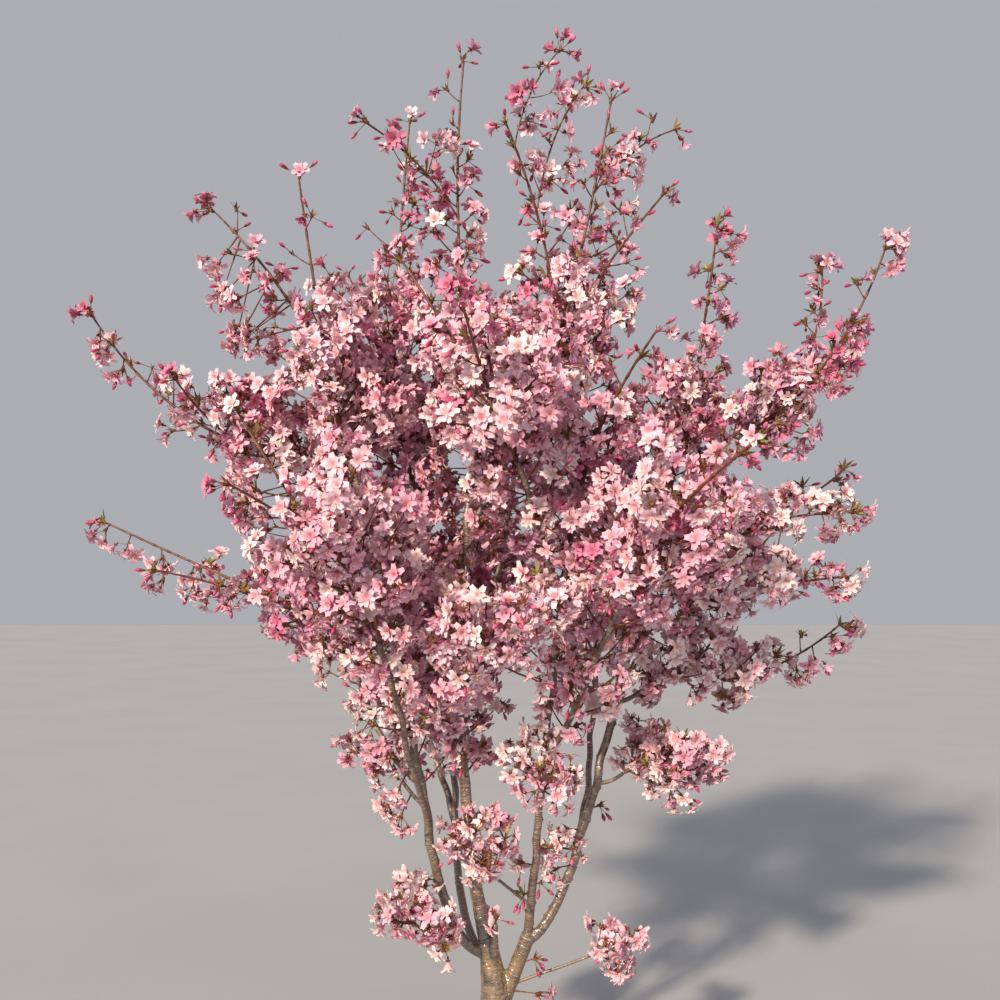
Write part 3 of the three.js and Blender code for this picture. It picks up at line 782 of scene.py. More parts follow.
    def dress_tips(self, carriers: list[Wood], blooms: list[Bloom]) -> None:
        """Opens an umbel on each twig that the part's solid has, and on the tip of each shoot."""
        for carrier in carriers[1:]:
            self.open_umbel(carrier.place(1.0), carrier.along(1.0), 1.0)
        for number, carrier in enumerate(carriers):
            self.carriers.append(Spray(carrier, float(number > 0)))
        kept = {id(bloom.twig) for bloom in blooms}
        for spray in self.sprays:
            if id(spray.wood) in kept:
                self.open_umbel(spray.wood.place(1.0), spray.wood.along(1.0), spray.outer)

    def grow_finer(self, index: int, carriers: list[Wood], blooms: list[Bloom]) -> None:
        """Grows the finer twigs of a mass on its carriers and on its twigs, within the same reach.

        Args:
            index: The mass's place in the table.
            carriers: Its stem and shoots.
            blooms: The twigs that its solid has.
        """
        rule = Rule(self.first_seed + self.seed_step * (index + len(MASSES)))
        fine: list[Spray] = []
        reach = self.reaches[index]
        for number in [0] * (self.body_passes - 1) + list(range(len(carriers))):
            carrier = carriers[number]
            count = max(self.fewest_fine, int(carrier.length / self.fine_pitch))
            phase = rule.turn()
            least, more = self.fine_place
            for i in range(count):
                share = (i + least + more * rule.next()) / count
                tapered = self.fine_shortest + self.fine_gain * (1 - share) * carrier.length
                wanted = tapered if number else self.stem_twig_share * reach
                length = min(self.twig_longest, wanted) * rule.deal(self.fine_stretch)
                outer = share if number else 0.0
                self.try_spray(index, carrier, share, phase + i * GOLDEN_TURN, length, outer, rule, fine)
        own = {id(bloom.twig) for bloom in blooms}
        older = [spray for spray in self.sprays if id(spray.wood) in own] + fine
        for spray in older + [spray for spray in older if spray.outer < self.bushy_share]:
            count = int(spray.wood.length / self.node_pitch)
            phase = rule.turn()
            least, more = self.node_place
            for i in range(count):
                share = (i + least + more * rule.next()) / (count + self.node_end)
                length = rule.deal(self.node_length)
                turn = phase + i * GOLDEN_TURN
                self.try_spray(index, spray.wood, share, turn, length, spray.outer, rule, fine)

    def grow_spurs(self) -> None:
        """Grows short flowering spurs on the boughs inside the crown."""
        rule = Rule(self.first_seed)
        for row in BOUGHS:
            wood, fine = self.limbs[row.name], []
            lowest = self.low_spurs.get(row.name, self.spurs_from)
            count = int(wood.length / self.spur_pitch)
            for i in range(count):
                share = (i + rule.next()) / count
                length = rule.deal(self.spur_length)
                if wood.place(share)[2] > lowest:
                    self.try_spray(None, wood, share, i * GOLDEN_TURN, length, 0.0, rule, fine)
                else:
                    rule.next()

    def set_posies(self) -> None:
        """Sets the clusters that boughs and shoots carry in the photo, each on its own spur."""
        carrying = self.limbs | self.shoots
        for row in POSIES:
            wood = carrying[row.bough]
            way = unit(np.array(row.way))
            foot = wood.place(row.share)
            tip = foot + way * (row.length + wood.radius(row.share))
            spur = self.branch(foot, way, tip, self.fine_radius, self.twig_taper * self.fine_radius)
            self.sprays.append(Spray(spur))
            self.open_umbel(tip, way, 0.0, (row.flowers, row.buds))

    def try_spray(
        self,
        index: int | None,
        carrier: Wood,
        share: float,
        turn: float,
        length: float,
        outer: float,
        rule: Rule,
        fine: list[Spray],
    ) -> None:
        """Grows one fine twig with an umbel at its tip where there is room, at full length or less.

        Args:
            index: The mass's place in the table, or None for a spur on a bough.
            carrier: What the twig grows on.
            share: Where on its carrier it grows.
            turn: Its turn round the carrier.
            length: The length it would like.
            outer: How far out towards a shoot's tip its carrier is.
            rule: The row of numbers.
            fine: Takes the twig, if it grows.
        """
        along = carrier.along(share)
        lift = rule.deal(self.fine_lift)
        way = unit(self.sideways(along, turn, lift) + along * self.twig_forward)
        small = index is not None and self.reaches[index] < self.small_reach
        body = self.spur_room - self.spur_room_gain * self.reaches[index] if small else self.umbel_room
        room = body + (self.shoot_room - body) * outer**self.room_power
        for size in self.fine_tries:
            reach = max(self.fine_shortest, size * length)
            tip = carrier.on_facets(share) + way * reach + np.array([0, 0, self.twig_rise * reach])
            if not self.room_at(tip, room):
                continue
            inside = index is None or self.inside_space(index, tip[None])
            if inside and self.clear_of_limbs(tip[None], self.umbel_clearance):
                twig = self.twig(carrier, share, way, tip, self.fine_radius)
                self.seat(twig, carrier, share, outer, False)
                fine.append(self.sprays[-1])
                self.open_umbel(tip, twig.along(1.0), outer)
                return


@dataclass
class Shape:
    """The faces of one small thing, or of many, as arrays: places, corners, face sizes and materials."""

    places: np.ndarray
    corners: np.ndarray
    sizes: np.ndarray
    materials: np.ndarray

    @staticmethod
    def of(bm: bmesh.types.BMesh) -> "Shape":
        """Reads a bmesh and frees it."""
        places = np.array([vert.co[:] for vert in bm.verts], np.float32).reshape(-1, 3)
        for number, vert in enumerate(bm.verts):
            vert.index = number
        corners = np.array([vert.index for face in bm.faces for vert in face.verts], np.int64)
        sizes = np.array([len(face.verts) for face in bm.faces], np.int64)
        materials = np.array([face.material_index for face in bm.faces], np.int64)
        bm.free()
        return Shape(places, corners, sizes, materials)

    @staticmethod
    def joined(shapes: list["Shape"]) -> "Shape":
        """Joins several shapes into one."""
        starts = np.cumsum([0] + [len(shape.places) for shape in shapes[:-1]])
        return Shape(
            np.concatenate([shape.places for shape in shapes]),
            np.concatenate([shape.corners + start for shape, start in zip(shapes, starts, strict=True)]),
            np.concatenate([shape.sizes for shape in shapes]),
            np.concatenate([shape.materials for shape in shapes]),
        )

    def stamped(self, origins: np.ndarray, turns: np.ndarray, scales: np.ndarray) -> "Shape":
        """Sets a copy of this shape at each of many places.

        Args:
            origins: One place for each copy, in millimetres.
            turns: One 3 by 3 matrix for each copy, whose columns are its axes.
            scales: One size for each copy.

        Returns:
            All the copies as one shape.
        """
        copies = len(origins)
        places = np.einsum("kij,nj->kni", turns, self.places) * scales[:, None, None] + origins[:, None]
        corners = self.corners[None] + (np.arange(copies) * len(self.places))[:, None]
        sizes, materials = np.tile(self.sizes, copies), np.tile(self.materials, copies)
        return Shape(places.reshape(-1, 3), corners.ravel(), sizes, materials)

    def triangles(self) -> int:
        """How many triangles the faces make."""
        return int((self.sizes - 2).sum())

    def mesh(self, name: str) -> bpy.types.Mesh:
        """Writes the faces as a smooth Blender mesh, in metres."""
        mesh = bpy.data.meshes.new(name)
        mesh.vertices.add(len(self.places))
        mesh.vertices.foreach_set("co", (self.places * MM).astype(np.float32).ravel())
        mesh.loops.add(len(self.corners))
        mesh.loops.foreach_set("vertex_index", self.corners.astype(np.int32))
        mesh.polygons.add(len(self.sizes))
        starts = np.concatenate([[0], np.cumsum(self.sizes)[:-1]])
        mesh.polygons.foreach_set("loop_start", starts.astype(np.int32))
        mesh.polygons.foreach_set("material_index", self.materials.astype(np.int32))
        mesh.polygons.foreach_set("use_smooth", np.full(len(self.sizes), True))
        mesh.update(calc_edges=True)
        return mesh


def placed(name: str, mesh: bpy.types.Mesh, materials: list[bpy.types.Material]) -> bpy.types.Object:
    """Puts a mesh in the scene as an object at the origin.

    Args:
        name: The object's name.
        mesh: Its mesh, in metres, in the part's frame.
        materials: Its materials, in the order that its faces name them.

    Returns:
        The object.
    """
    piece = bpy.data.objects.new(name, mesh)
    for material in materials:
        mesh.materials.append(material)
    bpy.context.scene.collection.objects.link(piece)
    return piece


def axes_along(ways: np.ndarray, turns: np.ndarray) -> np.ndarray:
    """Turning matrices that carry +Z onto each of many ways, turned about it.

    Args:
        ways: One direction for each row.
        turns: One turn about it for each row, in radians.

    Returns:
        One 3 by 3 matrix for each row.
    """
    level = np.abs(ways[:, 2:3]) < 0.9
    reference = np.where(level, np.array([0.0, 0.0, 1.0]), np.array([1.0, 0.0, 0.0]))
    across = unit(np.cross(reference, ways))
    up = np.cross(ways, across)
    cosine, sine = np.cos(turns)[:, None], np.sin(turns)[:, None]
    return np.stack([across * cosine + up * sine, up * cosine - across * sine, ways], axis=2)


def tubes(
    woods: list[Wood], rings: int, sides: int, swell: float = 0.0, node_pitch: float = 22, slim: float = 1.0
) -> Shape:
    """Closed tapering tubes along many curves at once.

    Args:
        woods: The curves, with their radii.
        rings: How many stretches each tube has.
        sides: How many sides each tube has.
        swell: How much thicker a tube is at its nodes, as a share of its radius.
        node_pitch: How far apart the nodes are, in millimetres.
        slim: The share of the curves' radii that the tubes have.

    Returns:
        All the tubes as one shape.
    """
    shares = np.linspace(0, 1, rings + 1)
    middles = np.stack([wood.place(shares) for wood in woods])
    alongs = np.stack([wood.along(shares) for wood in woods])
    radii = slim * np.stack([wood.radius(shares) + 0 * shares for wood in woods])
    lengths = np.array([wood.length for wood in woods])[:, None]
    radii = radii * (1 + swell * np.maximum(0, np.sin(FULL_TURN * shares * lengths / node_pitch)) ** 3)
    chords = unit(middles[:, -1] - middles[:, 0])
    across, up = axes_across(alongs, chords[:, None], 0.7)
    turn = FULL_TURN * np.arange(sides) / sides
    ring = across[:, :, None] * np.cos(turn)[:, None] + up[:, :, None] * np.sin(turn)[:, None]
    places = middles[:, :, None] + ring * radii[:, :, None, None]
    count = len(woods)
    side, row = np.arange(sides), np.arange(rings)[:, None] * sides
    after = (side + 1) % sides
    quads = np.stack([row + side, row + after, row + sides + after, row + sides + side], axis=-1)
    quads = quads.reshape(-1, 4)
    caps = np.stack([side[::-1], rings * sides + side])
    step = (np.arange(count) * (rings + 1) * sides)[:, None]
    corners = np.concatenate([quads.ravel(), caps.ravel()])[None] + step
    sizes = np.tile(np.concatenate([np.full(len(quads), 4), np.full(2, sides)]), count)
    return Shape(places.reshape(-1, 3), corners.ravel(), sizes, np.zeros(len(sizes), np.int64))


class Tint(Enum):
    """Petal tints with main and heart colours: cream, pale, mid, mauve are painted sunlight to painted shade
    with chance; deep is young flowers' own pink.
    """

    CREAM = ("cream", (0.930, 0.735, 0.760), (0.800, 0.440, 0.490))
    PALE = ("pale", (0.900, 0.590, 0.685), (0.740, 0.310, 0.390))
    MID = ("mid", (0.830, 0.430, 0.565), (0.700, 0.240, 0.340))
    DEEP = ("deep", (0.680, 0.190, 0.340), (0.480, 0.070, 0.170))
    MAUVE = ("mauve", (0.680, 0.350, 0.510), (0.500, 0.160, 0.290))


class Graph:
    """Adds shader nodes to one tree and joins them."""

    def __init__(self, tree: bpy.types.NodeTree) -> None:
        """Starts on an empty tree."""
        self.tree = tree
        tree.nodes.clear()

    def node(self, kind: str, inputs: dict | None = None, **settings: object) -> bpy.types.Node:
        """Adds one node.

        Args:
            kind: The node's type, such as ShaderNodeMix.
            inputs: A value or another node's output for each named or numbered socket.
            settings: The node's own properties.

        Returns:
            The node.
        """
        made = self.tree.nodes.new(kind)
        for name, value in settings.items():
            setattr(made, name, value)
        for name, value in (inputs or {}).items():
            if isinstance(value, bpy.types.NodeSocket):
                self.tree.links.new(value, made.inputs[name])
            else:
                made.inputs[name].default_value = value
        return made

    def mapped(
        self, value: bpy.types.NodeSocket, low: float, high: float, **ends: float
    ) -> bpy.types.NodeSocket:
        """A value stretched so that low becomes 0 and high becomes 1, or the ends that are given."""
        limits = {name.replace("_", " "): end for name, end in ends.items()}
        inputs = {"Value": value, "From Min": low, "From Max": high, **limits}
        return self.node("ShaderNodeMapRange", inputs).outputs[0]

    def mixed(self, share: bpy.types.NodeSocket, first: object, second: object) -> bpy.types.NodeSocket:
        """Two colours mixed by a share."""
        made = self.node("ShaderNodeMix", {"Factor": share}, data_type="RGBA")
        for socket, value in ((made.inputs[6], first), (made.inputs[7], second)):
            if isinstance(value, bpy.types.NodeSocket):
                self.tree.links.new(value, socket)
            else:
                socket.default_value = (*value, 1)
        return made.outputs[2]

    def worked(self, operation: str, first: object, second: object) -> bpy.types.NodeSocket:
        """Two values worked together, as in ADD."""
        return self.node("ShaderNodeMath", {0: first, 1: second}, operation=operation).outputs[0]

    def times(self, first: object, second: object) -> bpy.types.NodeSocket:
        """The product of two values."""
        return self.worked("MULTIPLY", first, second)

    def scaled(self, place: bpy.types.NodeSocket, factors: Triple) -> bpy.types.NodeSocket:
        """A place with each of its parts multiplied."""
        inputs = {0: place, 1: factors}
        return self.node("ShaderNodeVectorMath", inputs, operation="MULTIPLY").outputs[0]

    def near(self, place: bpy.types.NodeSocket, spot: Triple, reach: float) -> bpy.types.NodeSocket:
        """How near a place is to a spot: 1 within three tenths of a reach, 0 beyond all of it."""
        away = self.node("ShaderNodeVectorMath", {0: place, 1: spot}, operation="DISTANCE")
        return self.mapped(away.outputs["Value"], reach, 0.3 * reach)

    def noise(self, place: bpy.types.NodeSocket, scale: object, **settings: object) -> bpy.types.NodeSocket:
        """Soft noise at a scale, with a detail or a type where one is given."""
        inputs = {"Vector": place, "Scale": scale}
        if "detail" in settings:
            inputs["Detail"] = settings.pop("detail")
        return self.node("ShaderNodeTexNoise", inputs, **settings).outputs[0]

    def attribute(self, name: str, output: str) -> bpy.types.NodeSocket:
        """A value, or a row of them, that the mesh carries."""
        return self.node("ShaderNodeAttribute", attribute_name=name).outputs[output]

    def mottled(
        self, place: bpy.types.NodeSocket, scale: float, soft: tuple[float, float], *tones: Triple
    ) -> bpy.types.Node:
        """Two tones that run into each other in soft patches.

        Args:
            place: Where the colour is wanted.
            scale: How fine the patches are.
            soft: Between which two values of the noise the tones mix.
            tones: The first and the second tone.

        Returns:
            The node, with the outputs Colour and Share.
        """
        first, second = ((*tone, 1) for tone in tones)
        inputs = {"Place": place, "Scale": scale, "Low": soft[0], "High": soft[1]}
        inputs.update({"First": first, "Second": second})
        return self.node("ShaderNodeGroup", inputs, node_tree=Mottle().group())

    def finished(self, inputs: dict) -> None:
        """Ends a material's tree with its shader."""
        shader = self.node("ShaderNodeBsdfPrincipled", inputs)
        self.node("ShaderNodeOutputMaterial", {"Surface": shader.outputs[0]})


def new_group(name: str, inputs: dict[str, str], outputs: dict[str, str]) -> bpy.types.NodeTree:
    """An empty node group with named sockets.

    Args:
        name: The group's name.
        inputs: The type of each input socket.
        outputs: The type of each output socket.

    Returns:
        The group.
    """
    group = bpy.data.node_groups.new(name, "ShaderNodeTree")
    for direction, sockets in (("INPUT", inputs), ("OUTPUT", outputs)):
        for socket, kind in sockets.items():
            group.interface.new_socket(name=socket, in_out=direction, socket_type=kind)
    return group


@dataclass(frozen=True)
class Mottle:
    """Two colours that run into each other in soft patches."""

    name: str = "mottle"

    def group(self) -> bpy.types.NodeTree:
        """The effect's node group, built once."""
        if self.name in bpy.data.node_groups:
            return bpy.data.node_groups[self.name]
        colour, value, vector = "NodeSocketColor", "NodeSocketFloat", "NodeSocketVector"
        group = new_group(
            self.name,
            {"Place": vector, "Scale": value, "Low": value, "High": value, "First": colour, "Second": colour},
            {"Colour": colour, "Share": value},
        )
        graph = Graph(group)
        given = graph.node("NodeGroupInput").outputs
        noise = graph.noise(given["Place"], given["Scale"], detail=3.0)
        share = graph.mapped(noise, given["Low"], given["High"])
        mixed = graph.mixed(share, given["First"], given["Second"])
        graph.node("NodeGroupOutput", {"Colour": mixed, "Share": share})
        return group


@dataclass(frozen=True)
class Finish:
    """A finish mottled from two colours, with a roughness and a fine bump."""

    name: str
    first: Triple
    second: Triple
    scale: float
    roughness: float
    bump: float = 0.0
    bump_scale: float = 900
    sheen: float = 0.0
    soft: tuple[float, float] = (0.36, 0.64)

    def material(self) -> bpy.types.Material:
        """Builds the finish's material."""
        material = bpy.data.materials.new(self.name)
        material.use_nodes = True
        graph = Graph(material.node_tree)
        place = graph.node("ShaderNodeTexCoord").outputs["Object"]
        mottle = graph.mottled(place, self.scale, self.soft, self.first, self.second)
        inputs = {
            "Base Color": mottle.outputs["Colour"],
            "Roughness": self.roughness,
            "Sheen Weight": self.sheen,
        }
        if self.bump:
            height = graph.noise(place, self.bump_scale)
            bump = graph.node("ShaderNodeBump", {"Height": height, "Strength": self.bump, "Distance": MM})
            inputs["Normal"] = bump.outputs[0]
        graph.finished(inputs)
        return material


@dataclass(frozen=True)
class CherryBark:
    """Grey-brown cherry bark: level pale dashes, silky bands, cracks at the fork and lichen on one stem."""

    name: str = "cherry_bark"
    ash: Triple = (0.250, 0.158, 0.088)
    umber: Triple = (0.080, 0.047, 0.029)
    chestnut: Triple = (0.105, 0.046, 0.022)
    ochre: Triple = (0.280, 0.180, 0.065)
    ochre_place: Triple = (-0.004, 0.0, 0.188)
    ochre_reach: float = 0.062
    tan: Triple = (0.540, 0.420, 0.290)
    lichen: Triple = (0.150, 0.125, 0.040)
    rust: Triple = (0.380, 0.150, 0.040)
    rust_place: Triple = (-0.024, -0.014, 0.198)
    rust_reach: float = 0.016
    young_radius: float = 4.0
    old_radius: float = 15.0
    polish: float = 0.95
    density: float = 1.95
    grain: float = 55.0
    soft: tuple[float, float] = (0.38, 0.62)
    dash_size: Triple = (120.0, 120.0, 420.0)
    band_size: Triple = (34.0, 34.0, 360.0)
    crack_size: Triple = (210.0, 210.0, 55.0)
    patch_size: float = 90.0
    silk: float = 0.6
    dash_share: float = 0.62
    crack_share: float = 0.7
    lichen_share: float = 0.75
    relief: float = 0.0016
    calm_below: float = 0.3
    dulled: float = 0.35

    def dashes(self) -> bpy.types.NodeTree:
        """The group of level dashes that cherry bark breathes through."""
        group = new_group("level_dashes", {"Place": "NodeSocketVector"}, {"Mask": "NodeSocketFloat"})
        graph = Graph(group)
        place = graph.scaled(graph.node("NodeGroupInput").outputs["Place"], self.dash_size)
        cells = graph.node("ShaderNodeTexVoronoi", {"Vector": place, "Scale": 1.0, "Randomness": 1.0})
        dot = graph.mapped(cells.outputs["Distance"], 0.42, 0.24)
        chance = graph.node("ShaderNodeSeparateColor", {"Color": cells.outputs["Color"]}).outputs[0]
        some = graph.mapped(chance, 0.42, 0.5)
        graph.node("NodeGroupOutput", {"Mask": graph.times(dot, some)})
        return group

    def material(self) -> bpy.types.Material:
        """Builds the bark's material."""
        material = bpy.data.materials.new(self.name)
        material.use_nodes = True
        graph = Graph(material.node_tree)
        place = graph.attribute("bark_place", "Vector")
        stoutness = graph.attribute("stoutness", "Fac")
        lichened = graph.attribute("lichened", "Fac")
        base = graph.mottled(place, self.grain, self.soft, self.umber, self.ash)
        colour = graph.mixed(stoutness, self.chestnut, base.outputs["Colour"])
        bands = graph.noise(graph.scaled(place, self.band_size), 1.0, detail=2.0)
        silky = graph.mapped(bands, 0.52, 0.72)
        colour = graph.mixed(graph.times(silky, self.silk), colour, self.tan)
        dash = graph.node("ShaderNodeGroup", {"Place": place}, node_tree=self.dashes()).outputs["Mask"]
        colour = graph.mixed(graph.times(dash, self.dash_share), colour, self.tan)
        cracks = graph.noise(graph.scaled(place, self.crack_size), 1.0, noise_type="RIDGED_MULTIFRACTAL")
        old = graph.mapped(stoutness, 0.45, 1.0)
        cracked = graph.times(graph.mapped(cracks, 0.95, 1.35), old)
        colour = graph.mixed(graph.times(cracked, self.crack_share), colour, self.umber)
        patches = graph.noise(place, self.patch_size, detail=4.0)
        grown = graph.times(graph.mapped(patches, 0.46, 0.58), lichened)
        colour = graph.mixed(graph.times(grown, self.lichen_share), colour, self.lichen)
        here = graph.node("ShaderNodeTexCoord").outputs["Object"]
        yellow = graph.near(here, self.ochre_place, self.ochre_reach)
        colour = graph.mixed(graph.times(yellow, graph.mapped(patches, 0.44, 0.56)), colour, self.ochre)
        rusty = graph.near(here, self.rust_place, self.rust_reach)
        colour = graph.mixed(graph.times(rusty, graph.mapped(patches, 0.4, 0.6)), colour, self.rust)
        height = graph.worked("ADD", graph.times(bands, 0.5), dash)
        height = graph.worked("SUBTRACT", height, graph.times(cracked, 1.6))
        height = graph.times(height, graph.mapped(stoutness, 0.0, self.calm_below, To_Min=0.2))
        bump = graph.node("ShaderNodeBump", {"Height": height, "Strength": 1.0, "Distance": self.relief})
        gloss = graph.mapped(base.outputs["Share"], 0.0, 1.0, To_Min=0.20, To_Max=0.34)
        dull = graph.times(graph.mapped(stoutness, self.calm_below, 0.0), self.dulled)
        inputs = {
            "Base Color": colour,
            "Roughness": graph.worked("ADD", gloss, dull),
            "IOR": self.density,
            "Specular IOR Level": self.polish,
            "Normal": bump.outputs[0],
        }
        graph.finished(inputs)
        return material


def sway(places: np.ndarray) -> np.ndarray:
    """Lets wood wander a little off its curve, as grown wood does, but not at the trunk.

    Args:
        places: Places in millimetres, in the last axis.

    Returns:
        The same places, moved by up to about 3 mm.
    """
    slow, quick, level = 1.5, 0.9, 1.2
    still_below, fades_over = 235, 160
    x, y, z = places[..., 0], places[..., 1], places[..., 2]
    aside = slow * np.sin(z / 19 + x / 37 + 1) + quick * np.sin(z / 8.5 + y / 23)
    back = slow * np.sin(z / 22 + x / 17 + 2) + quick * np.sin(x / 9.5 + z / 13)
    rise = level * np.sin(x / 21 + y / 18 + 3)
    grown = np.clip((z - still_below) / fades_over, 0, 1)[..., None]
    return places + grown * np.stack([aside, back, rise], axis=-1)


@dataclass
class Bark:
    """The trunk and boughs as one skin of bark, with their collars, knobs, bands and cracks."""

    growth: Growth
    stout_from: float = 6.5
    voxel: float = 1.7
    pitch: float = 4.0
    collar: float = 0.26
    collar_reach: float = 1.3
    knob_pitch: tuple[tuple[str, float], ...] = (("right", 12), ("centre", 24), ("left", 30), ("leader", 30))
    knob_radius: float = 2.3
    knob_height: float = 2.0
    band_height: float = 0.22
    lump_height: float = 0.45
    crack_depth: float = 0.9
    fork_height: float = 185
    fork_reach: float = 45
    lichened_limb: str = "left"
    root_depth: float = 4
    sides: tuple[int, int, int] = (72, 28, 12)
    near_part: int = 4000
    frame_pitch: float = 3
    flat_below: float = 0.6
    limb_shift: float = 370
    lichen_low: float = 240
    lichen_rises: float = 60
    lichen_high: float = 620
    lichen_falls: float = 120
    smooth_below: float = 5
    smooth_over: float = 10
    knob_from: float = 0.06
    knob_over: float = 0.75
    knob_stretch: Span = (0.7, 0.5)

    @staticmethod
    def course(wood: Wood, shares: np.ndarray) -> tuple[np.ndarray, np.ndarray]:
        """The places of a limb's curve, with its wandering, and the ways that it runs there."""
        middles = sway(wood.place(shares))
        return middles, unit(np.gradient(middles, axis=0))

    @staticmethod
    def turned(alongs: np.ndarray) -> tuple[np.ndarray, np.ndarray]:
        """The ways across a limb, set out from the one way that its steepest part allows."""
        return axes_across(alongs, alongs[np.abs(alongs[:, 1]).argmax()], 0.9)

    def tube(self, wood: Wood, sides: int) -> Shape:
        """One limb as a circle drawn out ring by ring along its curve.

        Args:
            wood: The limb.
            sides: How many sides its rings have.

        Returns:
            The limb's closed skin.
        """
        is_trunk = isinstance(wood, Trunk)
        length = wood.height if is_trunk else wood.length
        shares = np.linspace(0, 1, max(4, round(length / self.pitch)) + 1)
        middles, alongs = self.course(wood, shares)
        radii = wood.radius(shares)
        if is_trunk:
            alongs[:] = (0, 0, 1)
            middles[0, 2] = -self.root_depth
        else:
            radii = radii * (1 + self.collar * np.exp(-shares * length / (self.collar_reach * wood.foot)))
        across, up = self.turned(alongs)
        turns = FULL_TURN * np.arange(sides) / sides
        bm = bmesh.new()
        bmesh.ops.create_circle(bm, cap_ends=True, segments=sides, radius=1)
        ring = list(bm.verts)
        for i, middle in enumerate(middles):
            if i:
                old = [face for face in bm.faces if len(face.verts) == sides and ring[0] in face.verts]
                made = bmesh.ops.extrude_face_region(bm, geom=old)
                step = {vert for vert in made["geom"] if isinstance(vert, bmesh.types.BMVert)}
                ring = [self.carried(vert, step) for vert in ring]
                if i > 1:
                    bmesh.ops.delete(bm, geom=old, context="FACES_ONLY")
            reach = np.full(sides, radii[i])
            if is_trunk:
                reach = reach + wood.flared(max(middle[2], 0), turns)
            places = middle + np.outer(reach * np.cos(turns), across[i])
            places += np.outer(reach * np.sin(turns), up[i])
            for vert, place in zip(ring, places, strict=True):
                vert.co = place
        bmesh.ops.recalc_face_normals(bm, faces=bm.faces[:])
        return Shape.of(bm)

    @staticmethod
    def carried(vert: bmesh.types.BMVert, step: set[bmesh.types.BMVert]) -> bmesh.types.BMVert:
        """The one new vertex at the end of an edge from an old one."""
        others = (edge.other_vert(vert) for edge in vert.link_edges)
        return next(other for other in others if other in step)

    def fused(self, shapes: list[Shape]) -> Shape:
        """Fuses overlapping limbs into one skin, eased where they meet, cut flat at the ground."""
        piece = placed("limbs", Shape.joined(shapes).mesh("limbs"), [])
        remesh = piece.modifiers.new("fuse", "REMESH")
        remesh.mode = "VOXEL"
        remesh.voxel_size = self.voxel * MM
        ease = piece.modifiers.new("ease", "SMOOTH")
        ease.factor = 0.5
        ease.iterations = 4
        found = piece.evaluated_get(bpy.context.evaluated_depsgraph_get())
        bm = bmesh.new()
        bm.from_mesh(found.to_mesh())
        found.to_mesh_clear()
        bpy.data.objects.remove(piece)
        bmesh.ops.scale(bm, vec=(1 / MM,) * 3, verts=bm.verts[:])
        whole = [*bm.verts, *bm.edges, *bm.faces]
        bmesh.ops.bisect_plane(bm, geom=whole, plane_co=(0, 0, 0.01), plane_no=(0, 0, 1), clear_inner=True)
        rim = [edge for edge in bm.edges if edge.is_boundary]
        bmesh.ops.edgeloop_fill(bm, edges=rim)
        bmesh.ops.recalc_face_normals(bm, faces=bm.faces[:])
        return Shape.of(bm)

    def is_stout(self, wood: Wood) -> bool:
        """Whether a limb is thick enough to be fused with the trunk."""
        return isinstance(wood, Trunk) or wood.foot >= self.stout_from

    def build(self) -> bpy.types.Object:
        """Builds the bark."""
        limbs = self.growth.limbs
        stout = [wood for wood in limbs.values() if self.is_stout(wood)]
        slender = [wood for wood in limbs.values() if not self.is_stout(wood)]
        trunk_sides, bough_sides, twig_sides = self.sides
        shapes = [self.tube(wood, trunk_sides if isinstance(wood, Trunk) else bough_sides) for wood in stout]
        skin = Shape.joined([self.fused(shapes), *(self.tube(wood, twig_sides) for wood in slender)])
        mesh = skin.mesh("bark")
        names, frames = self.frames(list(limbs.items()))
        place, girth, limb = self.straightened(skin.places, frames)
        normals = np.empty(3 * len(skin.places), np.float32)
        mesh.vertices.foreach_get("normal", normals)
        rise = self.relief(skin.places, place, girth, names[limb])
        moved = skin.places + normals.reshape(-1, 3) * rise[:, None]
        height = skin.places[:, 2]
        moved[:, 2] = np.where(height < self.flat_below, height, moved[:, 2])
        mesh.vertices.foreach_set("co", (moved * MM).astype(np.float32).ravel())
        mesh.update()
        shift = limb[:, None] * np.array([0.0, 0.0, self.limb_shift])
        young, old = CherryBark.young_radius, CherryBark.old_radius
        stoutness = np.clip((girth - young) / (old - young), 0, 1)
        lichened = np.clip((height - self.lichen_low) / self.lichen_rises, 0, 1)
        lichened = (names[limb] == self.lichened_limb) * lichened
        lichened = lichened * np.clip((self.lichen_high - height) / self.lichen_falls, 0, 1)
        self.attribute(mesh, "bark_place", "FLOAT_VECTOR", "vector", (place + shift) * MM)
        self.attribute(mesh, "stoutness", "FLOAT", "value", stoutness)
        self.attribute(mesh, "lichened", "FLOAT", "value", lichened)
        return placed("bark", mesh, [CherryBark().material()])

    @staticmethod
    def attribute(mesh: bpy.types.Mesh, name: str, kind: str, key: str, values: np.ndarray) -> None:
        """Writes one value, or one row, for each vertex."""
        made = mesh.attributes.new(name, kind, "POINT")
        made.data.foreach_set(key, np.ascontiguousarray(values, np.float32).ravel())

    def frames(self, limbs: list[tuple[str, Wood]]) -> tuple[np.ndarray, tuple[np.ndarray, ...]]:
        """Closely spaced places along every limb, each with its axes.

        Args:
            limbs: The limbs with their names.

        Returns:
            The limbs' names; and for each place: itself, across, up, along, distance, radius and limb.
        """
        rows = [[] for _ in range(7)]
        for number, (_, wood) in enumerate(limbs):
            length = wood.height if isinstance(wood, Trunk) else wood.length
            shares = np.linspace(0, 1, max(2, int(length / self.frame_pitch)))
            middles, alongs = self.course(wood, shares)
            across, ups = self.turned(alongs)
            radii = wood.radius(shares)
            values = (middles, across, ups, alongs, shares * length, radii, np.full(len(shares), number))
            for row, value in zip(rows, values, strict=True):
                row.append(value)
        return np.array([name for name, _ in limbs]), tuple(np.concatenate(row) for row in rows)

